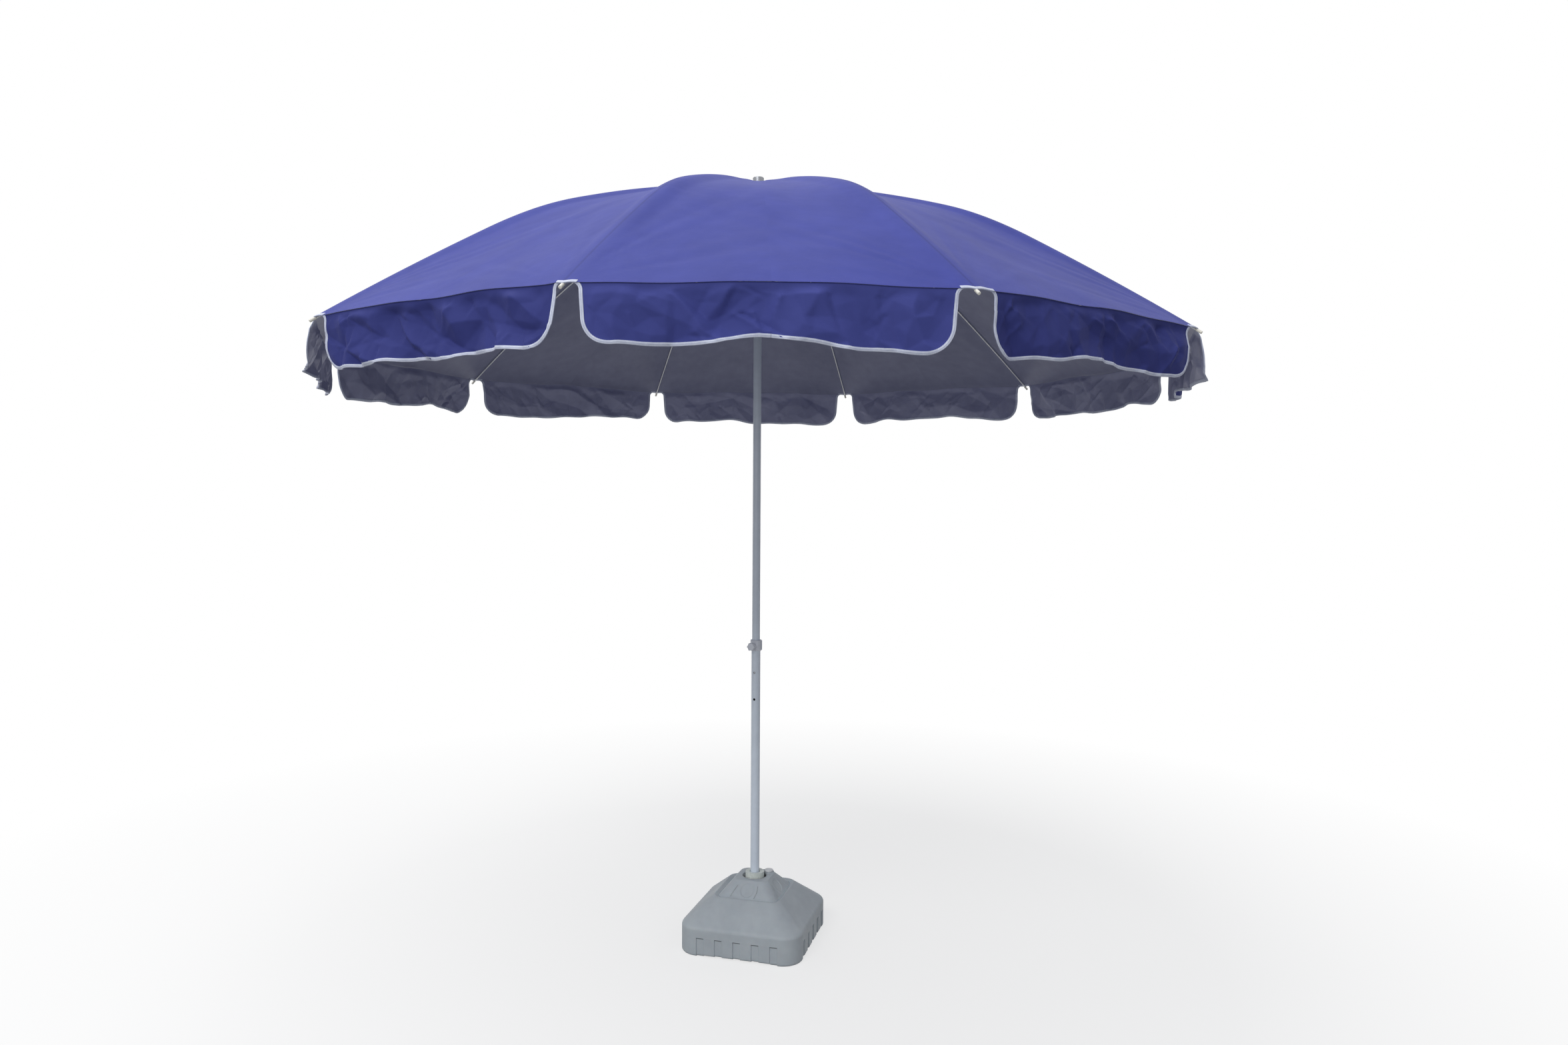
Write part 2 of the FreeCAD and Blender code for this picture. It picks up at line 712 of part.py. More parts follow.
def cloth_profile():
    """Underside of the canopy along a rib, as (radius, height)."""
    middle = [(cloth_inner_radius, cloth_centre_height), (lug_radius + 4, cloth_centre_height - 1.0)]
    step = (cloth_corner - first_contact) / cloth_spans
    reaches = [first_contact + step * number for number in range(cloth_spans)]
    over_ribs = [(reach, rib_height(reach) + cloth_lift(rib_diameter)) for reach in reaches]
    over_caps = [(cloth_corner, rib_height(cloth_corner) + cloth_lift(tip_cap_diameter + cap_allowance))]
    return middle + over_ribs + over_caps


def make_half_canopy():
    """Half a gore on the +Y side of the rib along +X."""
    profile = cloth_profile()
    scale = math.cos(half_pitch)
    lower = [Vec(r * scale, 0, z) for r, z in profile]
    upper = [p + Vec(0, 0, cloth_thickness) for p in reversed(lower)]
    curves = []
    for line in (lower, upper):
        spline = Part.BSplineCurve()
        spline.interpolate(line)
        curves.append(spline.toShape())
    ends = [
        Part.makeLine(lower[-1], upper[0]),
        Part.makeLine(upper[-1], lower[0]),
    ]
    face = Part.Face(Part.Wire([curves[0], ends[0], curves[1], ends[1]]))
    reach = cloth_corner * math.sin(half_pitch) + 30
    band = face.extrude(Vec(0, reach - cloth_clearance / 2, 0))
    band.translate(Vec(0, -reach, 0))
    band = turned(band, pitch_angle / 2)
    return band.common(block(0, canopy_radius * 1.1, 0, reach * 1.2, 0, crown_pin_height + 100))


def make_canopy():
    """Cloth over one rib, from the middle of one gore to the middle of the next."""
    half = make_half_canopy()
    return half.fuse(mirrored(half)).removeSplitter()


def make_half_flap():
    """Half a hanging flap, on the +Y side of the rib along +X."""
    top = cloth_profile()[-1][1] - cloth_clearance
    plane = cloth_corner * math.cos(half_pitch) - cloth_thickness
    near = -cloth_corner * math.sin(half_pitch) + flap_tip_gap
    far = -cloth_clearance / 2
    low = top - flap_height
    radius = flap_corner_radius
    cut = radius * (1 - math.cos(math.radians(45)))
    arc_start = Vec(plane, near, low + radius)
    arc_end = Vec(plane, near + radius, low)
    outline = [arc_end, Vec(plane, far, low), Vec(plane, far, top), Vec(plane, near, top), arc_start]
    edges = [Part.Arc(arc_start, Vec(plane, near + cut, low + cut), arc_end).toShape()]
    edges += [Part.makeLine(start, end) for start, end in zip(outline, outline[1:])]
    flap = Part.Face(Part.Wire(edges)).extrude(Vec(cloth_thickness, 0, 0))
    return turned(flap, pitch_angle / 2)


# ---------------------------------------------------------------- all parts
def main():
    os.makedirs("parts", exist_ok=True)
    write("base_tank", make_base_tank())
    write("water_fill", make_water())
    write("pole_collet", make_collet())
    write("base_nut", make_nut())
    write("fill_cap", make_fill_cap())
    write("cap_seal", make_cap_seal())
    write("lower_pole", make_lower_pole())
    write("lower_pole_plug", make_lower_plug())
    write("clamp_collar", make_clamp_collar())
    write("clamp_knob", make_clamp_knob())
    write("clamp_screw", make_clamp_screw())
    write("upper_pole", make_upper_pole())
    write("pole_bush", make_pole_bush())
    snap_reach = lower_tube_radius - tube_wall - button_recess
    write("snap_button", make_button(snap_reach, hole_height, hole_azimuth))
    write("runner_catch", make_button(upper_tube_radius + catch_protrusion, catch_height(), catch_azimuth))
    write("crown_hub", make_crown_hub())
    write("crown_pins", *make_crown_pins())
    write("finial", make_finial())
    write("runner", make_runner())
    rib = make_rib()
    stretcher = make_stretcher()
    canopy = make_canopy()
    half_flap = make_half_flap()
    flaps = [half_flap, mirrored(half_flap)]
    for number in range(rib_count):
        name = f"{number + 1:02d}"
        angle = rib_angle(number)
        write("rib_" + name, *[turned(s, angle) for s in rib])
        write("stretcher_" + name, turned(stretcher, angle))
        write("canopy_" + name, turned(canopy, angle))
        write("valance_" + name, *[turned(s, angle) for s in flaps])
    print("runner pivot height", round(runner_pivot_height, 3), "travel", round(runner_travel, 3))
    print("fold angle", round(math.degrees(fold_angle), 4), "tip", tip_point, "tip slope", tip_slope)
    print("joint pivot", joint_pivot, "hem height", cloth_profile()[-1])


main()
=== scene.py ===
import math
import random

import bmesh
import bpy
import numpy as np
from mathutils import Matrix, Vector
from mathutils.geometry import delaunay_2d_cdt


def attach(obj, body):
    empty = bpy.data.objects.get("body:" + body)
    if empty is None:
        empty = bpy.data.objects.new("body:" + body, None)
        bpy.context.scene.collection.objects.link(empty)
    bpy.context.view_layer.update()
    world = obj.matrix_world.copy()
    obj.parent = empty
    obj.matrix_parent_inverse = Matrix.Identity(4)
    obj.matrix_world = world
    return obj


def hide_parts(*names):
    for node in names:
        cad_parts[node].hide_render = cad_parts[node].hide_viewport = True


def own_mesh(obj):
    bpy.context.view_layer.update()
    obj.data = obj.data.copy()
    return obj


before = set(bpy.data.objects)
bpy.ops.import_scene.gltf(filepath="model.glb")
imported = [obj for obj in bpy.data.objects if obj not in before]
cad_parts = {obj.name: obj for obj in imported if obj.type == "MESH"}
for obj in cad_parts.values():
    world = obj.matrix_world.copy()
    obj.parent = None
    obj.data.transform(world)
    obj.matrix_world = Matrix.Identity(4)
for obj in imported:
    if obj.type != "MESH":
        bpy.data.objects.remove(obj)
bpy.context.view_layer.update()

scene = bpy.context.scene
print("stage: frame loaded")

# shared sizes, metres
ribCount = 10
pitch = 2 * math.pi / ribCount
ribNames = [f"{number + 1:02d}" for number in range(ribCount)]
cornerReach = 1.488
goreWidth = 2 * cornerReach * math.sin(pitch / 2)
# distance between two neighbouring ribs, over the reach
ribSpread = 0.618


def ribAngle(index):
    return -math.pi / 2 + pitch * index


def smooth(value, low, high):
    share = np.clip((value - low) / (high - low), 0, 1)
    return share * share * (3 - 2 * share)


# meshes
def finishMesh(name, work, material):
    mesh = bpy.data.meshes.new(name)
    work.to_mesh(mesh)
    work.free()
    mesh.polygons.foreach_set("use_smooth", [True] * len(mesh.polygons))
    made = bpy.data.objects.new(name, mesh)
    scene.collection.objects.link(made)
    for each in material if isinstance(material, list) else [material]:
        mesh.materials.append(each)
    return made


# a grid laid onto points given row by row, with a uv for each of them
def layGrid(points, uv=None):
    rows, columns = points.shape[:2]
    work = bmesh.new()
    bmesh.ops.create_grid(work, x_segments=columns - 1, y_segments=rows - 1, size=1.0)
    bmesh.ops.reverse_faces(work, faces=work.faces)
    for vert, place in zip(work.verts, points.reshape(-1, 3)):
        vert.co = place
    if uv is not None:
        layer = work.loops.layers.uv.new("cloth")
        places = uv.reshape(-1, 2)
        work.verts.index_update()
        for face in work.faces:
            for loop in face.loops:
                loop[layer].uv = places[loop.vert.index]
    return work


# join the first and last row or column of a laid grid and fill the ends that stay open
def closeGrid(work):
    bmesh.ops.remove_doubles(work, verts=work.verts, dist=1e-6)
    bmesh.ops.holes_fill(work, edges=[edge for edge in work.edges if edge.is_boundary], sides=0)
    bmesh.ops.recalc_face_normals(work, faces=work.faces)


# node helpers
class Nodes:
    def __init__(self, tree):
        self.tree = tree

    def add(self, kind, settings=None, **inputs):
        node = self.tree.nodes.new(kind)
        for key, value in (settings or {}).items():
            setattr(node, key, value)
        for key, value in inputs.items():
            self.feed(node, key.replace("_", " "), value)
        return node

    def feed(self, node, socket, value):
        target = node.inputs[socket]
        if isinstance(value, bpy.types.NodeSocket):
            self.tree.links.new(value, target)
        else:
            target.default_value = value

    def math(self, operation, first, second=0.0, third=0.0):
        node = self.tree.nodes.new("ShaderNodeMath")
        node.operation = operation
        for place, value in enumerate((first, second, third)):
            self.feed(node, place, value)
        return node.outputs[0]

    def mix(self, factor, first, second):
        node = self.tree.nodes.new("ShaderNodeMix")
        node.data_type = "RGBA"
        self.feed(node, 0, factor)
        self.feed(node, 6, first)
        self.feed(node, 7, second)
        return node.outputs[2]

    def blend(self, factor, first, second):
        node = self.tree.nodes.new("ShaderNodeMixShader")
        for place, value in enumerate((factor, first, second)):
            self.feed(node, place, value)
        return node.outputs[0]

    def parts(self, vector):
        return self.add("ShaderNodeSeparateXYZ", Vector=vector).outputs

    def noise(self, vector, scale, detail=3.0, rough=0.55):
        node = self.add("ShaderNodeTexNoise", Scale=scale, Detail=detail, Roughness=rough)
        self.feed(node, "Vector", vector)
        return node.outputs["Fac"]

    def span(self, value, low, high, first=0.0, second=1.0):
        node = self.tree.nodes.new("ShaderNodeMapRange")
        for place, part in enumerate((value, low, high, first, second)):
            self.feed(node, place, part)
        return node.outputs[0]


# distance of a place from the upright axis
def axisReach(nodes, parts):
    across, along = (nodes.math("POWER", parts[axis], 2.0) for axis in (0, 1))
    return nodes.math("SQRT", nodes.math("ADD", across, along))


# the numbers of a display tone, turned into the shader's linear colour
def linear(*tone):
    return tuple((c / 12.92 if c <= 0.04045 else ((c + 0.055) / 1.055) ** 2.4) for c in tone) + (1.0,)


def newMaterial(name):
    made = bpy.data.materials.new(name)
    made.use_nodes = True
    nodes = Nodes(made.node_tree)
    shader = made.node_tree.nodes["Principled BSDF"]
    place = nodes.add("ShaderNodeTexCoord")
    return made, nodes, shader, place


# shared group: soft mottling, from a position to a mask from 0 to 1
def makeMottleGroup():
    group = bpy.data.node_groups.new("mottle", "ShaderNodeTree")
    group.interface.new_socket("Vector", in_out="INPUT", socket_type="NodeSocketVector")
    group.interface.new_socket("Scale", in_out="INPUT", socket_type="NodeSocketFloat")
    group.interface.new_socket("Mask", in_out="OUTPUT", socket_type="NodeSocketFloat")
    nodes = Nodes(group)
    inside = nodes.add("NodeGroupInput")
    outside = nodes.add("NodeGroupOutput")
    coarse = nodes.noise(inside.outputs["Vector"], inside.outputs["Scale"], 4.0, 0.6)
    fineScale = nodes.math("MULTIPLY", inside.outputs["Scale"], 5.3)
    fine = nodes.noise(inside.outputs["Vector"], fineScale, 2.0, 0.5)
    both = nodes.math("MULTIPLY_ADD", fine, 0.3, nodes.math("MULTIPLY", coarse, 0.7))
    nodes.feed(outside, "Mask", nodes.span(both, 0.36, 0.64))
    return group


mottleGroup = makeMottleGroup()


def mottle(nodes, vector, scale):
    node = nodes.tree.nodes.new("ShaderNodeGroup")
    node.node_tree = mottleGroup
    nodes.feed(node, "Vector", vector)
    nodes.feed(node, "Scale", scale)
    return node.outputs["Mask"]


def bumped(nodes, height, distance, strength=1.0, normal=None):
    node = nodes.add("ShaderNodeBump", Strength=strength, Distance=distance, Height=height)
    if normal is not None:
        nodes.feed(node, "Normal", normal)
    return node.outputs["Normal"]


def twoTones(nodes, mask, look, low="dark"):
    return nodes.mix(mask, linear(*look[low]), linear(*look["light"]))


# hard materials: two tones, roughness, size of the mottling, grain and its depth; "bore" is the radius of a
# tube's inside, which gets a near-black tone as painted shade
def solidMaterial(name, look):
    made, nodes, shader, place = newMaterial(name)
    where = place.outputs["Object"]
    mask = mottle(nodes, where, look["patch"])
    tone = twoTones(nodes, mask, look)
    if "bore" in look:
        # painted shade: the tube's inner wall gets a near-black tone
        inside = nodes.math("LESS_THAN", axisReach(nodes, nodes.parts(where)), look["bore"])
        tone = nodes.mix(inside, tone, linear(*look["boreShadeTone"]))
    nodes.feed(shader, "Base Color", tone)
    nodes.feed(shader, "Metallic", look.get("metal", 0.0))
    nodes.feed(shader, "Roughness", nodes.span(mask, 0, 1, look["rough"] + 0.05, look["rough"] - 0.05))
    grain = nodes.noise(where, look["grain"], 2.0, 0.5)
    nodes.feed(shader, "Normal", bumped(nodes, grain, look["depth"]))
    if "coat" in look:
        nodes.feed(shader, "Coat Weight", look["coat"])
        nodes.feed(shader, "Coat Roughness", 0.2)
    return made


paint = {"light": (0.86, 0.90, 0.95), "dark": (0.83, 0.87, 0.92), "rough": 0.36, "patch": 9.0, "grain": 900.0,
         "depth": 0.00003, "coat": 0.25, "boreShadeTone": (0.08, 0.08, 0.09)}
lookKeys = ("light", "dark", "rough", "patch", "grain", "depth", "metal")
lookRows = {
    "ribSteel": ((0.66, 0.67, 0.68), (0.54, 0.55, 0.57), 0.38, 14.0, 700.0, 0.00002, 0.6),
    "brightSteel": ((0.86, 0.87, 0.88), (0.74, 0.75, 0.77), 0.2, 40.0, 600.0, 0.00002, 1.0),
    "pinSteel": ((0.62, 0.63, 0.65), (0.5, 0.51, 0.53), 0.35, 60.0, 900.0, 0.00002, 1.0),
    "whitePlastic": ((0.9, 0.91, 0.92), (0.84, 0.85, 0.85), 0.55, 45.0, 700.0, 0.00004),
    "creamPlastic": ((0.9, 0.92, 0.9), (0.83, 0.86, 0.84), 0.6, 45.0, 500.0, 0.00005),
    "greyPlastic": ((0.89, 0.905, 0.94), (0.84, 0.855, 0.89), 0.42, 35.0, 600.0, 0.00004),
    "blackPlastic": ((0.1, 0.1, 0.11), (0.06, 0.06, 0.07), 0.45, 50.0, 600.0, 0.00005),
    "darkRubber": ((0.09, 0.09, 0.09), (0.05, 0.05, 0.05), 0.7, 70.0, 500.0, 0.00006),
    "tankWater": ((0.55, 0.64, 0.68), (0.45, 0.56, 0.62), 0.1, 6.0, 30.0, 0.0001),
}
hardLooks = {name: dict(zip(lookKeys, row)) for name, row in lookRows.items()}
hardLooks.update(lowerPaint={**paint, "bore": 0.0156}, upperPaint={**paint, "bore": 0.0136})
hard = {name: solidMaterial(name, look) for name, look in hardLooks.items()}


# ribs: galvanised rod with a white cap past the given reach
def makeRibMaterial():
    look = {"capStart": 1.4805, "patch": 16.0, "dark": (0.84, 0.85, 0.86), "light": (0.93, 0.93, 0.93),
            "cap": (0.9, 0.89, 0.85)}
    made, nodes, shader, place = newMaterial("ribRod")
    where = place.outputs["Object"]
    cap = nodes.math("GREATER_THAN", axisReach(nodes, nodes.parts(where)), look["capStart"])
    steel = twoTones(nodes, mottle(nodes, where, look["patch"]), look)
    nodes.feed(shader, "Base Color", nodes.mix(cap, steel, linear(*look["cap"])))
    nodes.feed(shader, "Metallic", nodes.math("MULTIPLY_ADD", cap, -0.2, 0.2))
    nodes.feed(shader, "Roughness", nodes.math("MULTIPLY_ADD", cap, 0.1, 0.36))
    return made


ribMaterial = makeRibMaterial()


# cloth: u holds metres across the piece plus a shift for each gore, v metres down it; the first gore's flap
# gets its own lighter tone, painted light from the front; "seam" is the stitched line over a rib, "stripe"
# the tape's ribbing
def clothMaterial(name, look):
    made, nodes, shader, place = newMaterial(name)
    uv = place.outputs["UV"]
    parts = nodes.parts(uv)
    base = twoTones(nodes, mottle(nodes, uv, look["patch"]), look, "shade" if "shade" in look else "dark")
    stretch = nodes.add("ShaderNodeMapping", Vector=uv, Scale=(38.0, 5.0, 1.0), Rotation=(0, 0, 0.5))
    scuffs = nodes.span(nodes.noise(stretch.outputs[0], 1.0, 5.0, 0.7), 0.66, 0.8)
    base = nodes.mix(nodes.math("MULTIPLY", scuffs, look["scuff"]), base, linear(*look["scuffTone"]))
    # painted light: the first gore's flap gets a lighter tone that stands in for the light falling on it from
    # the front
    if "frontLitTone" in look:
        firstGore = nodes.math("LESS_THAN", parts[0], 1.1)
        base = nodes.mix(firstGore, base, linear(*look["frontLitTone"]))
    if "seam" in look:
        shifted = nodes.math("FRACT", nodes.math("ADD", parts[0], 20.5))
        aside = nodes.math("ABSOLUTE", nodes.math("SUBTRACT", shifted, 0.5))
        seam = nodes.span(aside, 0.002, 0.005, look["seam"], 0.0)
        base = nodes.mix(seam, base, linear(*look["seamTone"]))
    if "stripe" in look:
        line = nodes.math("SINE", nodes.math("MULTIPLY", parts[1], look["stripe"]))
        base = nodes.mix(nodes.span(line, 0.1, 0.7, 0.0, 0.55), base, linear(*look["dark"]))
    nodes.feed(shader, "Base Color", base)
    nodes.feed(shader, "Roughness", look["rough"])
    nodes.feed(shader, "Sheen Weight", look["sheen"])
    nodes.feed(shader, "Sheen Roughness", 0.4)
    nodes.feed(shader, "Sheen Tint", linear(*look["sheenTone"]))
    nodes.feed(shader, "Specular IOR Level", look["gloss"])
    warp = nodes.math("SINE", nodes.math("MULTIPLY", parts[0], look["thread"]))
    weft = nodes.math("SINE", nodes.math("MULTIPLY", parts[1], look["thread"]))
    weave = bumped(nodes, nodes.math("MULTIPLY", warp, weft), 0.00004, 0.6)
    creases = nodes.noise(uv, 26.0, 4.0, 0.6)
    nodes.feed(shader, "Normal", bumped(nodes, creases, look["crease"], 0.7, weave))
    return made


blueCloth = {"patch": 5.0, "scuff": 0.12, "scuffTone": (0.5, 0.53, 0.78), "sheen": 0.03,
             "sheenTone": (0.85, 0.8, 0.95), "thread": 5200.0, "crease": 0.0011}
silverCloth = {"patch": 5.0, "scuff": 0.1, "scuffTone": (0.6, 0.62, 0.68), "sheen": 0.05, "rough": 0.46,
               "sheenTone": (0.8, 0.8, 0.9), "gloss": 0.15, "thread": 5200.0, "crease": 0.0018}
clothLooks = {
    "clothBlue": {**blueCloth, "light": (0.256, 0.288, 0.605), "dark": (0.232, 0.263, 0.565), "rough": 0.5,
                  "gloss": 0.07, "seam": 0.4, "seamTone": (0.17, 0.19, 0.42)},
    # painted shade: a darker, duller copy of the canopy's blue for the flaps, standing in for the shade they
    # hang in
    "flapBlueShaded": {**blueCloth, "light": (0.252, 0.274, 0.52), "dark": (0.23, 0.252, 0.49), "rough": 0.55,
                 "gloss": 0.03, "frontLitTone": (0.279, 0.304, 0.57)},
    "clothSilver": {**silverCloth, "light": (0.575, 0.585, 0.69), "dark": (0.52, 0.53, 0.635)},
    # painted light: a lighter copy of the silver lining for the inner faces of the flaps
    "flapSilverLit": {**silverCloth, "light": (0.64, 0.65, 0.765), "dark": (0.585, 0.595, 0.71)},
    "tapeWhite": {"light": (0.88, 0.90, 0.96), "dark": (0.58, 0.62, 0.74), "shade": (0.8, 0.82, 0.9),
                  "stripe": 1600.0, "patch": 60.0, "rough": 0.6, "scuff": 0.1, "scuffTone": (0.7, 0.71, 0.8),
                  "sheen": 0.2, "sheenTone": (0.9, 0.9, 1.0), "gloss": 0.3, "thread": 3800.0,
                  "crease": 0.0006},
}
cloth = {name: clothMaterial(name, look) for name, look in clothLooks.items()}
print("stage: materials")


# rib profile: three arcs, each tangent to the one before
ribLine = {"start": (0.032, 2.668), "slopes": (6.5, 18.9, 31.0, 34.22), "reaches": (0.7, 1.0, 1.496)}


def ribArcs():
    x, z = ribLine["start"]
    arcs = []
    for number, reach in enumerate(ribLine["reaches"]):
        first, last = (math.radians(s) for s in ribLine["slopes"][number:number + 2])
        radius = (reach - x) / (math.sin(last) - math.sin(first))
        cx, cz = x - radius * math.sin(first), z - radius * math.cos(first)
        arcs.append((reach, cx, cz, radius))
        x, z = cx + radius * math.sin(last), cz + radius * math.cos(last)
    return arcs


arcs = ribArcs()


def ribHeight(reach):
    heights = [cz + np.sqrt(np.maximum(radius**2 - (reach - cx) ** 2, 0)) for _, cx, cz, radius in arcs]
    return np.select([reach <= arcs[0][0], reach <= arcs[1][0]], heights[:2], heights[2])


canopy = {
    "lift": 0.0040, "crownLift": 0.0098, "crownTop": 2.6808, "inner": 0.0145,
    "thickness": 0.0005, "side": -1, "rows": 120, "halfColumns": 30,
    "sag": 0.024, "ridge": 0.065, "crest": 0.026, "sagShape": 0.66, "rimLift": 0.007, "rimBow": 0.008,
    "rayDepth": 0.02, "rayFall": 0.22, "rayCount": 26.0, "rayShare": 0.85,
    "midCrease": (0.0006, 0.012), "seam": (0.0007, 0.006), "gather": (0.0012, 0.16, 0.09), "swell": 0.0015,
    "hemFolds": (0.0006, 0.011, 0.022), "jointLift": (0.0025, 0.80, 0.13),
    # how round the cloth is at a rib: share of the distance, at the crown and its growth with reach
    "crestRound": (0.19, 0.11, 0.38),
}


def canopyHeight(reach):
    rise, middle, spread = canopy["jointLift"]
    lifted = ribHeight(reach) + canopy["lift"] + canopy["crownLift"] * (1 - smooth(reach, 0.05, 0.3))
    lifted = lifted + rise * np.exp(-(((reach - middle) / spread) ** 2))
    return np.minimum(lifted, canopy["crownTop"])


# a gore lies between rib gore and rib gore + 1; share runs from 0 to 1 between them
def canopyPoints(gore, reach, share):
    gore = gore % ribCount
    chance = random.Random(40 + gore)
    phase = [chance.uniform(0, 2 * math.pi) for _ in range(12)]
    first, second = ribAngle(gore), ribAngle(gore + 1)
    bow = 1 + canopy["rimBow"] / cornerReach * 4 * share * (1 - share) * smooth(reach, 1.1, cornerReach)
    x = reach * bow * ((1 - share) * math.cos(first) + share * math.cos(second))
    y = reach * bow * ((1 - share) * math.sin(first) + share * math.sin(second))
    belly = 4 * share * (1 - share)
    run = reach / cornerReach
    fromRib = np.minimum(share, 1 - share) * reach
    nearRib = fromRib * ribSpread
    sag = canopy["sag"] * np.sin(math.pi * np.clip(run, 0, 1) ** 1.1) * belly ** canopy["sagShape"]
    sag = sag * smooth(nearRib, 0.0, canopy["ridge"])
    whole, atCrown, growth = canopy["crestRound"]
    rounding = whole * fromRib * (atCrown + growth * reach)
    sag = sag - rounding * np.exp(-((nearRib / canopy["crest"]) ** 2))
    lift = canopy["rimLift"] * belly * smooth(reach, 1.15, cornerReach)
    fold = np.zeros_like(reach)
    for side, place in ((share, 0), (1 - share, 1)):
        across = side * reach * 2 * math.sin(pitch / 2)
        down = cornerReach - reach
        away = np.hypot(across, down) + 1e-6
        turn = np.arctan2(down, across)
        wave = np.sin(canopy["rayCount"] * turn + phase[place] + 1.6 * np.sin(5 * turn + phase[place + 2]))
        wave = wave * (0.55 + 0.45 * np.sin(9 * turn + phase[place + 9]))
        window = smooth(turn, 0.05, 0.5) * (1 - smooth(turn, 1.35, 1.56))
        envelope = away * np.exp(-away / canopy["rayFall"])
        fold = fold + canopy["rayDepth"] * wave * window * envelope
    fold = fold * np.clip(belly * 6, 0, 1)
    swell = sum(
        np.sin(reach * rate * 3.1 + share * goreWidth * turns + phase[4 + index])
        for index, (rate, turns) in enumerate(((2.1, 9.0), (3.7, -14.0), (1.3, 21.0)))
    )
    swell = swell * canopy["swell"] * belly * smooth(reach, 0.15, 0.6)
    rise, centre, spread = canopy["gather"]
    gather = rise * np.sin(share * 2 * math.pi * 3 + phase[8]) * belly
    gather = gather * np.exp(-(((reach - centre) / spread) ** 2))
    rise, spread = canopy["midCrease"]
    middle = rise * np.exp(-np.abs(share - 0.5) * reach * ribSpread / spread) * smooth(reach, 0.1, 0.4)
    rise, spread = canopy["seam"]
    seam = rise * np.exp(-((nearRib / spread) ** 2))
    rise, length, spread = canopy["hemFolds"]
    hem = rise * np.cos((cornerReach - reach) / length) * np.exp(-(cornerReach - reach) / spread) * belly
    z = canopyHeight(reach) - sag + lift + fold * canopy["rayShare"]
    z = z + swell + gather + middle + seam + hem + canopy["thickness"]
    return np.stack([x, y, z], axis=-1)


# both faces of a sheet, the second with the second material
def soften(made, thickness, offset):
    solid = made.modifiers.new("thickness", "SOLIDIFY")
    solid.thickness = thickness
    solid.offset = offset
    solid.material_offset = 1
    solid.material_offset_rim = 0
    solid.use_even_offset = False
    even = made.modifiers.new("normals", "WEIGHTED_NORMAL")
    even.mode = "FACE_AREA"
    even.weight = 90


def makeCanopyPiece(index):
    rows, half = canopy["rows"], canopy["halfColumns"]
    runs = np.linspace(0, 1, rows)
    reaches = canopy["inner"] + (cornerReach - canopy["inner"]) * runs
    steps = np.linspace(0, 1, half + 1)
    near = 0.5 * steps**1.3
    shares = np.concatenate([-near[::-1], near[1:]])
    reach, share = np.meshgrid(reaches, shares, indexing="ij")
    before = canopyPoints(index - 1, reach, np.where(share < 0, 1 + share, 1.0))
    after = canopyPoints(index, reach, np.where(share >= 0, share, 0.0))
    points = np.where((share < 0)[..., None], before, after)
    uv = np.stack([share * reach * ribSpread + index, reach], axis=-1)
    name = "cloth_" + ribNames[index]
    made = finishMesh(name, layGrid(points, uv), [cloth["clothBlue"], cloth["clothSilver"]])
    soften(made, canopy["thickness"], canopy["side"])
    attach(made, "rib_" + ribNames[index])
    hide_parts("canopy_" + ribNames[index])
    return made


canopyPieces = [makeCanopyPiece(index) for index in range(ribCount)]
print("stage: canopy")


# crumpled cloth: random heights over random triangles
def crumpleField(seed, width, height, spacing, depth):
    chance = random.Random(seed)
    places = []
    columns, rows = max(2, round(width / spacing)), max(2, round(height / spacing))
    for column in range(-1, columns + 2):
        for row in range(-1, rows + 2):
            shake = [chance.uniform(-0.42, 0.42) * spacing for _ in range(2)]
            places.append(Vector((column * width / columns + shake[0], row * height / rows + shake[1])))
    points, _, triangles = delaunay_2d_cdt(places, [], [], 0, 1e-7)[:3]
    heights = [chance.choice((-1, 1)) * chance.uniform(0.25, 1.0) * depth for _ in points]
    corners = [[(points[v].x, points[v].y, heights[v]) for v in triangle] for triangle in triangles]

    def value(across, down):
        found = np.zeros_like(across)
        for (ax, ay, ah), (bx, by, bh), (cx, cy, ch) in corners:
            whole = (bx - ax) * (cy - ay) - (cx - ax) * (by - ay)
            if abs(whole) < 1e-9:
                continue
            second = ((across - ax) * (cy - ay) - (cx - ax) * (down - ay)) / whole
            third = ((bx - ax) * (down - ay) - (across - ax) * (by - ay)) / whole
            inside = (second >= 0) & (third >= 0) & (second + third <= 1)
            found = np.where(inside, ah + (bh - ah) * second + (ch - ah) * third, found)
        return found

    return value


flap = {
    "height": 0.152, "corner": 0.066, "lean": 0.010, "fillet": 0.016, "filletReach": 0.06, "topDrop": 0.0003,
    "inset": 0.003, "hang": 0.985, "thickness": 0.0005, "side": -1, "columns": 190, "rows": 54,
    "wave": 0.007, "tape": 0.0078, "midCrease": (0.0012, 0.008), "ripple": 0.0018,
    # crumples: spacing and depth; creases: how many, their rise and width
    "coarse": (0.085, 0.017), "fine": (0.036, 0.006), "soft": 0.0004, "squeeze": 0.8,
    "creases": 18, "creaseRise": (0.003, 0.009), "creaseWidth": (0.008, 0.017),
}
# where the hem of each gore's flap is pulled up: place along it, spread, share of the height
flapDips = [[(0.48, 0.16, 0.18), (0.16, 0.13, 0.10), (0.8, 0.08, 0.03)]]
for number in range(1, ribCount):
    pick = random.Random(900 + number)
    flapDips.append([(pick.uniform(0.1, 0.9), pick.uniform(0.06, 0.2), pick.uniform(0.02, 0.12))
                     for _ in range(3)])
flapDips[8] = [(0.96, 0.2, 0.2), (0.5, 0.2, 0.05)]
flapDips[9] = [(0.95, 0.3, 0.06), (0.35, 0.12, 0.03)]

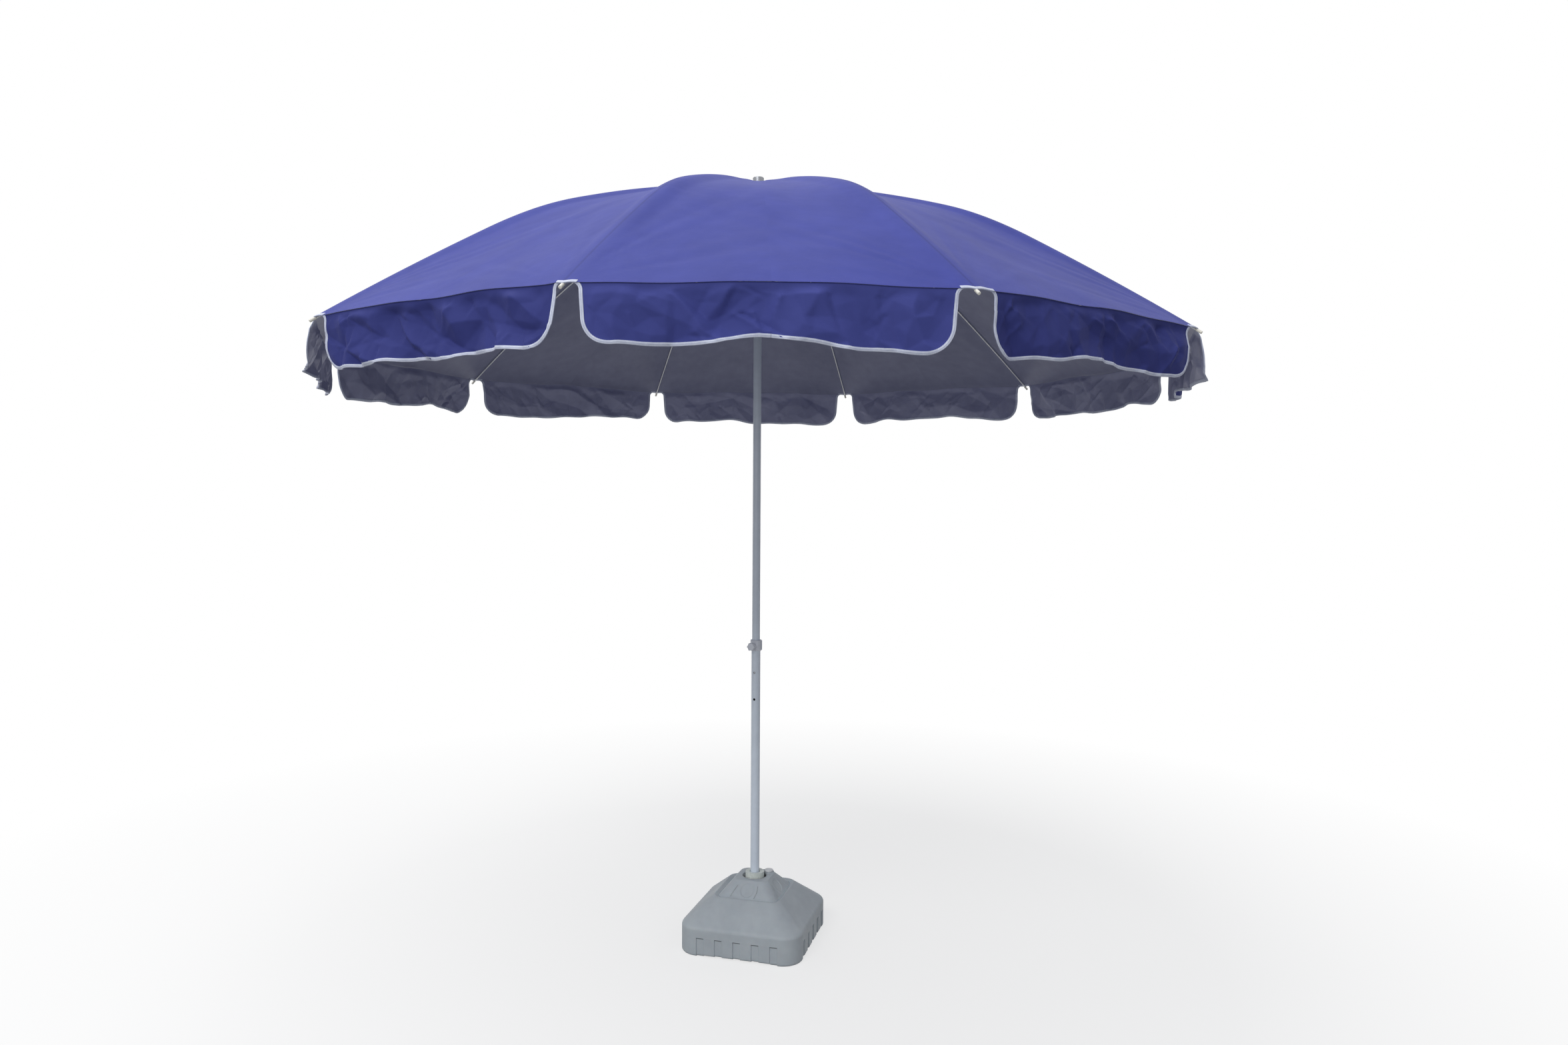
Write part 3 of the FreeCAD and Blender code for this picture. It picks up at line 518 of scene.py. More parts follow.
# distance from each end rib tip to the flap, and how far each lower end swings outward
flapGaps = [(0.036, 0.040), (0.062, 0.046), (0.030, 0.037), (0.037, 0.037), (0.034, 0.040),
            (0.037, 0.035), (0.036, 0.038), (0.037, 0.037), (0.037, 0.028), (0.046, 0.022)]
flapSwings = [(0.0, 0.0)] * ribCount
flapSwings[8], flapSwings[2] = (0.0, 0.035), (0.045, 0.0)

flapFields = []
for gore in range(ribCount):
    flapFields.append([crumpleField(3000 + gore, goreWidth, flap["height"], *flap["coarse"]),
                       crumpleField(7000 + gore, goreWidth, flap["height"], *flap["fine"])])


# sharp creases: start, direction, length, rise and width
def makeCreases(gore):
    chance = random.Random(5100 + gore)
    found = []
    for _ in range(flap["creases"]):
        start = (chance.uniform(0.03, goreWidth - 0.03), chance.choice((0.0, 0.0, 0.03, 0.07, 0.11)))
        angle = chance.choice((-1, 1)) * chance.uniform(0.25, 1.25)
        length = chance.uniform(0.05, 0.19)
        rise = chance.choice((-1, 1)) * chance.uniform(*flap["creaseRise"])
        width = chance.uniform(*flap["creaseWidth"])
        found.append((start, (math.sin(angle), math.cos(angle)), length, rise, width))
    return found


flapCreases = [makeCreases(gore) for gore in range(ribCount)]


def creaseHeight(gore, along, down):
    height = np.zeros_like(along)
    for (startAlong, startDown), (aside, below), length, rise, width in flapCreases[gore]:
        run = (along - startAlong) * aside + (down - startDown) * below
        off = np.abs((along - startAlong) * below - (down - startDown) * aside)
        share = np.clip(run / length, 0, 1)
        reach = np.hypot(off, run - share * length)
        spread = width * (0.4 + 1.2 * share)
        height = height + rise * np.exp(-reach / spread) * (1 - 0.55 * share)
    return height


# distance to the flap's nearer side edge
def edgeSpace(gore, along):
    return np.minimum(along - flapGaps[gore][0], goreWidth - along - flapGaps[gore][1])


def flapDepth(gore, along):
    share = along / goreWidth
    pulled = sum(depth * np.exp(-(((share - place) / spread) ** 2))
                 for place, spread, depth in flapDips[gore])
    into = np.clip(flap["corner"] - edgeSpace(gore, along), 0, flap["corner"])
    rounding = flap["corner"] - np.sqrt(np.maximum(flap["corner"] ** 2 - into**2, 0))
    return flap["height"] * (1 - pulled) - rounding


# straight outward from the gore's middle, and from its first rib tip to its second
def goreOut(gore):
    middle = (ribAngle(gore) + ribAngle(gore + 1)) / 2
    return np.array([math.cos(middle), math.sin(middle), 0])


def goreRun(gore):
    first, second = ribAngle(gore), ribAngle(gore + 1)
    return (math.cos(second) - math.cos(first), math.sin(second) - math.sin(first), 0)


# along is metres from the gore's first rib tip, down is metres below the hem
def flapPoints(gore, along, down):
    share = along / goreWidth
    top = canopyPoints(gore, np.full_like(along, cornerReach), share)
    run = np.array(goreRun(gore))
    run = run / np.linalg.norm(run)
    chance = random.Random(60 + gore)
    phase, shear = chance.uniform(0, 6.28), chance.choice((-1, 1)) * chance.uniform(0.5, 1.0)
    coarse, fine = flapFields[gore]
    soft = flap["soft"]
    crumple = 0
    for dx, dz in ((0, 0), (soft, soft), (-soft, soft), (soft, -soft), (-soft, -soft)):
        across = (along + dx + shear * (down + dz) - goreWidth / 2) * flap["squeeze"] + goreWidth / 2
        crumple = crumple + (coarse(across, down + dz) + fine(along + dx, down + dz)) / 5
    fade = smooth(down, 0.0, 0.03) * (0.35 + 0.65 * smooth(edgeSpace(gore, along), 0.0, 0.07))
    billow = flap["wave"] * np.sin(share * 11 + phase) * smooth(down, 0, flap["height"])
    rise, spread = flap["midCrease"]
    crease = rise * np.exp(-np.abs(along - goreWidth / 2) / spread) * fade
    swings = flapSwings[gore]
    ends = (1 - smooth(share, 0.0, 0.55)) * swings[0] + smooth(share, 0.45, 1.0) * swings[1]
    swing = ends * (down / flap["height"]) ** 0.8
    sharp = creaseHeight(gore, along, down) * fade
    face = crumple * fade + sharp + billow + crease + swing - flap["inset"]
    lean = flap["lean"] * (down / flap["height"]) * np.cos(math.pi * share)
    ripple = flap["ripple"] * np.sin(share * 37 + phase * 2) * fade
    point = top + goreOut(gore) * face[..., None] + run * lean[..., None]
    point[..., 2] = top[..., 2] - flap["topDrop"] - down * flap["hang"] + ripple
    return point


# the side edge curves into the canopy's hem at its top
def filletShift(down):
    left = np.clip(1 - down / flap["fillet"], 0, 1)
    return flap["fillet"] * (1 - np.sqrt(1 - left**2))


def flapGrid(gore, side):
    columns, rows = flap["columns"] // 2, flap["rows"]
    gap = flapGaps[gore][side]
    near = gap + (goreWidth / 2 - gap) * np.linspace(0, 1, columns + 1) ** 1.35
    near, run = np.meshgrid(near, np.linspace(0, 1, rows) ** 1.15, indexing="xy")
    along = near if side == 0 else goreWidth - near
    down = run * flapDepth(gore, along)
    near = near - filletShift(down) * np.clip(1 - (near - gap) / flap["filletReach"], 0, 1)
    if side == 0:
        return near, down
    return (goreWidth - near)[:, ::-1], down[:, ::-1]


# side 0 hangs by the gore's first rib and side 1 by its second
def flapEnd(gore, side):
    tip = ribNames[(gore + side) % ribCount]
    return tip, tip + ("_b" if side else "_a")


def makeFlapPiece(gore, side):
    along, down = flapGrid(gore, side)
    points = flapPoints(gore, along, down)
    uv = np.stack([along + gore * 1.3, down + 2.0], axis=-1)
    tip, label = flapEnd(gore, side)
    # the flaps take the shaded copy of the blue and the lit copy of the silver: painted shade and painted
    # light
    made = finishMesh("flap_" + label, layGrid(points, uv), [cloth["flapBlueShaded"], cloth["flapSilverLit"]])
    soften(made, flap["thickness"], flap["side"])
    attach(made, "valance_" + tip)
    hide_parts("valance_" + tip)
    return made


# binding tape folded over an edge, row by row: line it follows, rise off the face, step outward, and where it
# lies across the tape
tapeRows = [("inner", 0.0011, 0, 0), ("inner", 0.0014, 0.001, 0.1), ("edge", 0.0014, 0, 0.5),
            ("edge", 0, 0.0012, 0.55), ("edge", -0.0019, 0, 0.6), ("inner", -0.0019, 0.001, 0.9),
            ("inner", -0.0016, 0, 1.0), ("inner", 0.0011, 0, 1.1)]


def tapeStrip(name, edge, inner, face, body, uvStart):
    away = edge - inner
    away = away / np.linalg.norm(away, axis=-1, keepdims=True)
    lines = {"edge": edge, "inner": inner}
    points = np.stack([lines[line] + face * rise + away * step for line, rise, step, _ in tapeRows], axis=0)
    length = np.concatenate([[0], np.cumsum(np.linalg.norm(np.diff(edge, axis=0), axis=-1))])
    across = np.array([row[3] for row in tapeRows]) * flap["tape"] * 2
    uv = np.stack(np.broadcast_arrays((length + uvStart)[None, :], across[:, None]), axis=-1)
    work = layGrid(points, uv)
    closeGrid(work)
    made = finishMesh(name, work, cloth["tapeWhite"])
    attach(made, body)
    return made


# down the side, then along the hem to the middle of the gore
def flapEdgeLine(gore, side):
    gap, corner = flapGaps[gore][side], flap["corner"]
    start = gap + 1e-6 if side == 0 else goreWidth - gap - 1e-6
    sideDepth = float(flapDepth(gore, np.array([start]))[0])
    drops = sideDepth * np.linspace(0, 1, 34)[:-1] ** 1.6
    turns = np.linspace(0, math.pi / 2, 30)[:-1]
    arc = gap + corner * (1 - np.cos(turns))
    rest = np.linspace(gap + corner, goreWidth / 2, 80)
    near = np.concatenate([gap - filletShift(drops), arc, rest])
    along = near if side == 0 else goreWidth - near
    down = flapDepth(gore, along)
    down[:len(drops)] = drops
    return along, down


def makeFlapTape(gore, side):
    along, down = flapEdgeLine(gore, side)
    step = np.stack([np.gradient(along), np.gradient(down)], axis=-1)
    step = step / np.linalg.norm(step, axis=-1, keepdims=True)
    turn = 1 if side == 0 else -1
    inwards = np.stack([step[:, 1] * turn, -step[:, 0] * turn], axis=-1)
    innerAlong = along + inwards[:, 0] * flap["tape"]
    innerDown = np.maximum(down + inwards[:, 1] * flap["tape"], 0.0)
    edge = flapPoints(gore, along, down)
    inner = flapPoints(gore, innerAlong, innerDown)
    tip, label = flapEnd(gore, side)
    return tapeStrip("tape_" + label, edge, inner, goreOut(gore), "valance_" + tip, gore * 0.7)


# binding on the canopy's own edge, in the gap between two flaps at each tip
def makeCornerTape(index):
    inset = 0.004
    offsets = np.linspace(inset - flapGaps[index - 1][1], flapGaps[index][0] - inset, 41)
    shares = offsets / goreWidth

    def edgeLine(radius):
        radii = np.full_like(shares, radius)
        before = canopyPoints(index - 1, radii, np.where(shares < 0, 1 + shares, 1.0))
        after = canopyPoints(index, radii, np.where(shares >= 0, shares, 0.0))
        return np.where((shares < 0)[:, None], before, after)

    edge = edgeLine(cornerReach + 0.0005)
    inner = edgeLine(cornerReach - flap["tape"])
    angle = ribAngle(index)
    face = np.array([math.cos(angle) * 0.55, math.sin(angle) * 0.55, 0.83])
    tip = ribNames[index]
    return tapeStrip("cornerTape_" + tip, edge, inner, face, "rib_" + tip, index * 0.9)


flapPieces, flapTapes = {}, {}
for gore in range(ribCount):
    for side in (0, 1):
        flapPieces[gore, side] = makeFlapPiece(gore, side)
        flapTapes[gore, side] = makeFlapTape(gore, side)
cornerTapes = [makeCornerTape(index) for index in range(ribCount)]
print("stage: flaps and binding")


# each canopy piece, flap and binding strip gets its own copy of its mesh
for index in range(ribCount):
    for each in (canopyPieces[index], cornerTapes[index]):
        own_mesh(each)
for (gore, side), piece in flapPieces.items():
    for each in (piece, flapTapes[gore, side]):
        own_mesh(each)
# water tank: rings of rounded squares from the ground to the round recess
tank = {
    "half": 0.218, "corner": 0.070, "foot": 0.004, "bandTop": 0.098, "shoulder": 0.020, "bottomRound": 0.009,
    "slopeHalf": 0.121, "slopeCorner": 0.036, "slopeTop": 0.178,
    "moatHalf": 0.107, "moatCorner": 0.024, "moatFloor": 0.1715,
    "tierHalf": 0.062, "tierCorner": 0.028, "tierTop": 0.2245,
    "recess": 0.043, "recessFloor": 0.213, "neck": 0.026, "neckTop": 0.232, "bore": 0.022, "boreFloor": 0.221,
    "well": 0.0166, "wellFloor": 0.008,
    "slotPitch": 0.066, "slotWidth": 0.0255, "slotTop": 0.065, "slotShadow": 0.75, "slotDepth": 0.0045,
    "slots": 5, "footEdge": 0.1195, "footRise": 0.02, "rib": 0.0656, "ribRise": 0.0003,
}
# emblem on the tier's front and plain grooves on its right side; places are across the side and up
marks = {
    "disc": (-0.0027, 0.197, 0.0252), "discDepth": 0.0022, "discDish": 0.0008, "upright": 1.28,
    "line": 0.0013, "depth": 0.0022, "grooveShade": 0.5, "low": 0.178, "tall": 0.032,
    "leftLine": ((-0.040, 0.209), (-0.059, 0.178), 0.0),
    "rightLine": ((0.0335, 0.210), (0.027, 0.178), 0.0035),
    "wedge": 0.0007, "edge": 0.0015,
}
# rings of the recess, neck and well: radius and height, each as a size above and a step from it
wellRings = [
    ("recess", 0.0018, "tierTop", 0), ("recess", 0.0006, "tierTop", -0.0006),
    ("recess", 0, "tierTop", -0.002), ("recess", -0.0006, "recessFloor", 0.002),
    ("recess", -0.0026, "recessFloor", 0),
    ("neck", 0.002, "recessFloor", 0), ("neck", 0, "recessFloor", 0.002), ("neck", 0, "neckTop", -0.001),
    ("neck", -0.001, "neckTop", 0), ("bore", 0.001, "neckTop", 0), ("bore", 0, "neckTop", -0.001),
    ("bore", 0, "boreFloor", 0), ("well", 0, "boreFloor", 0), ("well", 0, "wellFloor", 0),
]


def between(start, end, shares):
    start, end = np.array(start), np.array(end)
    return [start + (end - start) * share for share in shares]


# rows of half width, corner radius and height, from the ground to the tier's top
def tankProfile():
    half, corner, bottom, knee = tank["half"], tank["corner"], tank["bottomRound"], tank["bandTop"]
    rows = []
    for turn in np.linspace(0, math.pi / 2, 6):
        inward = bottom * (1 - math.sin(turn))
        rows.append((half - inward, corner - inward, bottom * (1 - math.cos(turn))))
    top = knee - tank["shoulder"] * 0.45
    heights = [*np.linspace(bottom, 0.0625, 18)[1:], 0.0637, 0.0644, 0.0650, 0.0656, 0.0663, 0.0675, 0.0700,
               *np.linspace(0.074, top, 4)]
    rows += [(half, corner, height) for height in heights]
    # shoulder: a quadratic from the band to the slope
    slant = math.atan2(tank["slopeTop"] - knee, half - tank["slopeHalf"])
    length = tank["shoulder"] * 0.55
    onSlope = (half - length * math.cos(slant), knee + length * math.sin(slant))
    for share in np.linspace(0, 1, 11)[1:]:
        parts = ((1 - share) ** 2, 2 * share * (1 - share), share**2)
        wide = (parts[0] + parts[1]) * half + parts[2] * onSlope[0]
        height = parts[0] * top + parts[1] * knee + parts[2] * onSlope[1]
        run = (half - wide) / (half - tank["slopeHalf"])
        rows.append((wide, corner + (tank["slopeCorner"] - corner) * run, height))
    slope = np.array((tank["slopeHalf"], tank["slopeCorner"], tank["slopeTop"]))
    moat = np.array((tank["moatHalf"], tank["moatCorner"], tank["moatFloor"]))
    tier = np.array((tank["tierHalf"], tank["tierCorner"], tank["tierTop"]))
    rows += between(rows[-1], slope + (0.002, 0, -0.0012), np.linspace(0, 1, 22)[1:])
    for step in ((0.0004, 0, -0.0004), (-0.0012, -0.001, -0.0004), (-0.0035, -0.003, -0.0016)):
        rows.append(slope + step)
    rows += between(rows[-1], moat + (0.002, 0.001, 0.0006), (0.35, 0.7, 0.9))
    rows += [moat + (0.0016, 0.001, 0.0001), moat + (0.0002, 0, 0.0006)]
    rows += between(moat + (0, 0, 0.0006), tier + (0.001, 0, -0.0016), np.linspace(0, 1, 46)[1:])
    rows += [tier + (0.0001, 0, -0.0006), tier + (-0.0012, 0, -0.0001), tier + (-0.003, 0, 0)]
    return rows


# places along one side, from -1 to 1 of its straight part, close together at the slots' edges
def tankColumns():
    straight = tank["half"] - tank["corner"]
    places = list(np.linspace(-1, 1, 75))
    for number in range(tank["slots"]):
        centre = (number - (tank["slots"] - 1) / 2) * tank["slotPitch"]
        for edge in (-1, 1):
            for shift in (-0.0011, -0.0004, 0.0004, 0.0011):
                places.append((centre + edge * (tank["slotWidth"] / 2) + shift) / straight)
    return np.array(sorted(set(round(float(p), 5) for p in places if -1 <= p <= 1)))


def smoothNear(value, low, high, soft):
    return smooth(value, low - soft, low + soft) * (1 - smooth(value, high - soft, high + soft))


# the way along a side and the way straight out of it
def sideWays(quarter):
    angle = -math.pi / 2 + quarter * math.pi / 2
    return np.array([-math.sin(angle), math.cos(angle)]), np.array([math.cos(angle), math.sin(angle)])


# how far a place on a side is set in by the slots or stands out as a rib, and how far the foot lifts it
def bandShape(side, height):
    inset, rise, step = 0.0, 0.0, tank["slotPitch"]
    if height < 0.07 and abs(side) < tank["slots"] * step / 2:
        local = (side + step / 2 + 10 * step) % step - step / 2
        deep = float(smoothNear(local, -tank["slotWidth"] / 2, tank["slotWidth"] / 2, 0.0008))
        below = float(1 - smooth(height, tank["slotTop"] - 0.0014, tank["slotTop"] + 0.0002))
        inset = tank["slotDepth"] * deep * below
    if height < tank["footRise"]:
        raised = float(1 - smooth(abs(side), tank["footEdge"] - 0.001, tank["footEdge"] + 0.001))
        rise = tank["foot"] * raised * (1 - height / tank["footRise"])
    if abs(height - tank["rib"]) < 0.0004:
        inset -= tank["ribRise"]
    return inset, rise


# points of the outer shell and how much painted shadow each of them gets under the top ledge of each slot
def tankLoops(rows, columns, turns):
    loops, paintedShades = [], []
    for half, corner, height in rows:
        straight = half - corner
        ledge = float(smoothNear(height, tank["slotTop"] - 0.0035, tank["slotTop"] + 0.0006, 0.0012))
        loop, paintedShade = [], []
        for quarter in range(4):
            along, out = sideWays(quarter)
            for place in columns:
                inset, rise = bandShape(place * straight, height)
                point = out * (half - inset) + along * place * straight
                loop.append((point[0], point[1], height + rise))
                share = min(max(inset, 0.0) / tank["slotDepth"] * 1.5, 1.0)
                # painted shadow under the ledge at the top of each slot
                paintedShade.append(tank["slotShadow"] * ledge * share)
            centre = out * straight + along * straight
            for turn in turns:
                point = centre + (out * math.cos(turn) + along * math.sin(turn)) * corner
                loop.append((point[0], point[1], height))
                paintedShade.append(0.0)
        loops.append(loop)
        paintedShades.append(paintedShade)
    return np.array(loops), np.array(paintedShades)


def lineMask(across, height, start, end, bend):
    steps = np.linspace(0, 1, 14)
    sx = start[0] + (end[0] - start[0]) * steps + bend * np.sin(math.pi * steps)
    sz = start[1] + (end[1] - start[1]) * steps
    near = np.min(np.hypot(across[..., None] - sx, (height[..., None] - sz) * marks["upright"]), axis=-1)
    return 1 - smooth(near, marks["line"] * 0.4, marks["line"] * 1.3)


def wedgeMask(across, height, left, right):
    wide = smooth(across, left, left + marks["edge"]) * (1 - smooth(across, right, right + marks["edge"]))
    return wide * smooth(height, 0.1772, 0.1784) * (1 - smooth(height, 0.196, 0.209))


# press the marks into the tier's front and right side
def pressMarks(rows, outer, paintedShades, columns, turns):
    inwards, rise = tank["moatHalf"] - tank["tierHalf"], tank["tierTop"] - tank["moatFloor"]
    length = math.hypot(inwards, rise)
    found = [number for number, (half, corner, height) in enumerate(rows)
             if tank["moatFloor"] + 0.001 < height < tank["tierTop"] - 0.001 and half <= tank["moatHalf"]]
    tierRows = slice(found[0], found[-1] + 1)
    for quarter in (0, 1):
        along, out = sideWays(quarter)
        first = quarter * (len(columns) + len(turns))
        band = slice(first, first + len(columns))
        block = outer[tierRows, band]
        across = block[..., 0] * along[0] + block[..., 1] * along[1]
        height = block[..., 2]
        up = height - marks["low"]
        cx, cz, radius = marks["disc"]
        near = np.hypot(across - cx, (height - cz) * marks["upright"])
        dish = marks["discDepth"] * (1 - smooth(near, radius * 0.86, radius))
        dish = dish + marks["discDish"] * (1 - smooth(near, 0, radius))
        groove = np.maximum(lineMask(across, height, *marks["leftLine"]),
                            lineMask(across, height, *marks["rightLine"]))
        share = np.clip(up / marks["tall"], 0, 1)
        rightEdge = 0.027 + 0.0065 * share + 0.0035 * np.sin(math.pi * share)
        wedges = wedgeMask(across, height, -0.059 + up * 0.61, -0.031 - up * 0.3)
        wedges = wedges + wedgeMask(across, height, rightEdge, 0.053 - up * 0.5)
        deep = dish + groove * marks["depth"] + wedges * marks["wedge"]
        block[..., 0] -= out[0] * deep * rise / length
        block[..., 1] -= out[1] * deep * rise / length
        block[..., 2] -= deep * inwards / length
        # painted shade in the grooves of the pressed marks
        paintedShades[tierRows, band] = groove * marks["grooveShade"]


def makeTank():
    columns, rows = tankColumns(), tankProfile()
    turns = np.linspace(0, math.pi / 2, 17)[1:-1]
    outer, paintedShades = tankLoops(rows, columns, turns)
    pressMarks(rows, outer, paintedShades, columns, turns)
    rim = outer[-1]
    angles = np.arctan2(rim[:, 1], rim[:, 0])
    circle = np.stack([np.cos(angles), np.sin(angles)], axis=-1)
    # half way from the square rim to the round recess
    halfWay = rim.copy()
    halfWay[:, :2] = (rim[:, :2] + circle * (tank["recess"] + 0.002)) / 2
    rounds = [halfWay]
    for size, wider, level, higher in wellRings:
        heights = np.full((len(rim), 1), tank[level] + higher)
        rounds.append(np.concatenate([circle * (tank[size] + wider), heights], axis=1))
    every = np.concatenate([outer, np.array(rounds)], axis=0)
    every = np.concatenate([every, every[:, :1]], axis=1)
    shadeAmounts = np.zeros(every.shape[:2])
    shadeAmounts[:len(paintedShades), :-1] = paintedShades
    work = layGrid(every)
    layer = work.verts.layers.float.new("paintedShade")
    for vert, amount in zip(work.verts, shadeAmounts.reshape(-1)):
        vert[layer] = amount
    closeGrid(work)
    made = finishMesh("tankShell", work, tankMaterial)
    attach(made, "base")
    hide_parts("base_tank")


def makeTankMaterial():
    look = {"light": (0.74, 0.77, 0.79), "dark": (0.70, 0.73, 0.755), "recessTone": (0.42, 0.40, 0.36),
            "paintedShade": (0.22, 0.21, 0.2)}
    made, nodes, shader, place = newMaterial("tankPlastic")
    where = place.outputs["Object"]
    mask = mottle(nodes, where, 7.0)
    base = twoTones(nodes, mask, look)
    parts = nodes.parts(where)
    # the round recess is darker, in patches
    inRecess = nodes.math("MULTIPLY", nodes.span(axisReach(nodes, parts), 0.041, 0.045, 1.0, 0.0),
                          nodes.span(parts[2], 0.212, 0.224, 1.0, 0.0))
    recessPatches = nodes.math("MULTIPLY", inRecess, nodes.span(nodes.noise(where, 60.0, 3.0), 0.35, 0.6, 0.35, 0.95))
    base = nodes.mix(recessPatches, base, linear(*look["recessTone"]))
    # painted shadow under the slot ledges and painted shade in the grooves, carried by the vertex attribute
    paintedShade = nodes.add("ShaderNodeAttribute", {"attribute_name": "paintedShade"}).outputs["Fac"]
    base = nodes.mix(paintedShade, base, linear(*look["paintedShade"]))
    nodes.feed(shader, "Base Color", base)
    nodes.feed(shader, "Roughness", nodes.span(mask, 0, 1, 0.56, 0.48))
    nodes.feed(shader, "Specular IOR Level", 0.25)
    nodes.feed(shader, "Subsurface Weight", 0.05)
    nodes.feed(shader, "Subsurface Scale", 0.01)
    grain = nodes.noise(where, 420.0, 3.0, 0.6)
    broad = nodes.noise(where, 13.0, 2.0, 0.5)
    fine = bumped(nodes, grain, 0.00012, 0.6)
    nodes.feed(shader, "Normal", bumped(nodes, broad, 0.0012, 0.6, fine))
    return made


tankMaterial = makeTankMaterial()
makeTank()
print("stage: tank")


# boss round the filler, standing from the recess
def makeBoss():
    boss = {"centre": (0.041, 0.041), "radius": 0.0185, "low": 0.2132, "top": 0.2272, "bore": 0.0101,
            "edge": 0.0016}
    (x, y), radius, low, top, bore, edge = boss.values()
    outline = [(bore, low), (radius, low), (radius, top - edge), (radius - edge * 0.3, top - edge * 0.3),
               (radius - edge, top), (bore, top)]
    work = bmesh.new()
    corners = [work.verts.new((x + reach, y, height)) for reach, height in outline]
    edges = [work.edges.new((corners[n], corners[(n + 1) % len(corners)])) for n in range(len(corners))]
    bmesh.ops.spin(work, geom=corners + edges, cent=(x, y, 0), axis=(0, 0, 1), angle=2 * math.pi, steps=64,
                   use_merge=True)
    bmesh.ops.recalc_face_normals(work, faces=work.faces)
    made = finishMesh("fillerBoss", work, tankMaterial)
    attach(made, "base")


makeBoss()


# CAD nodes that stay as they are get a procedural finish
finishes = {
    "water_fill": "tankWater", "pole_collet": "creamPlastic", "base_nut": "creamPlastic",
    "fill_cap": "whitePlastic", "cap_seal": "darkRubber", "lower_pole": "lowerPaint",
    "lower_pole_plug": "blackPlastic", "clamp_collar": "greyPlastic", "clamp_knob": "greyPlastic",
    "clamp_screw": "brightSteel", "upper_pole": "upperPaint", "pole_bush": "blackPlastic",
    "crown_hub": "whitePlastic", "crown_pins": "pinSteel", "finial": "pinSteel",
    "snap_button": "pinSteel", "runner_catch": "brightSteel", "runner": "whitePlastic",
}
for name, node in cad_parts.items():
    finish = hard.get(finishes.get(name), hard["whitePlastic"])
    if name.startswith("rib_"):
        finish = ribMaterial
    elif name.startswith("stretcher_"):
        finish = hard["ribSteel"]
    node.data.materials.clear()
    node.data.materials.append(finish)
print("stage: finishes")


# floor, light and camera: the background is white to the camera and in reflections, and dimmer as a light
def seenDirectly(nodes):
    path = nodes.add("ShaderNodeLightPath").outputs
    clear = nodes.math("MAXIMUM", path["Is Glossy Ray"], path["Is Transmission Ray"])
    return nodes.math("MAXIMUM", path["Is Camera Ray"], clear)


def makeFloor():
    look = {"shade": 0.94, "glow": 0.66, "near": 1.6, "far": 3.6, "bounce": 0.34}
    made = bpy.data.materials.new("paleFloor")
    made.use_nodes = True
    nodes = Nodes(made.node_tree)
    made.node_tree.nodes.clear()
    where = nodes.add("ShaderNodeTexCoord").outputs["Object"]
    distance = nodes.add("ShaderNodeVectorMath", {"operation": "LENGTH"})
    nodes.feed(distance, 0, where)
    matt, dull = (nodes.add("ShaderNodeBsdfDiffuse", Color=(look[key],) * 3 + (1.0,)).outputs[0]
                  for key in ("shade", "bounce"))
    white = nodes.add("ShaderNodeEmission", Color=(1.0, 1.0, 1.0, 1.0), Strength=1.0).outputs[0]
    fade = nodes.span(distance.outputs["Value"], look["near"], look["far"], look["glow"], 1.0)
    either = nodes.blend(seenDirectly(nodes), dull, nodes.blend(fade, matt, white))
    nodes.feed(nodes.add("ShaderNodeOutputMaterial"), "Surface", either)
    work = bmesh.new()
    bmesh.ops.create_grid(work, x_segments=1, y_segments=1, size=60.0)
    floor = finishMesh("floor", work, made)


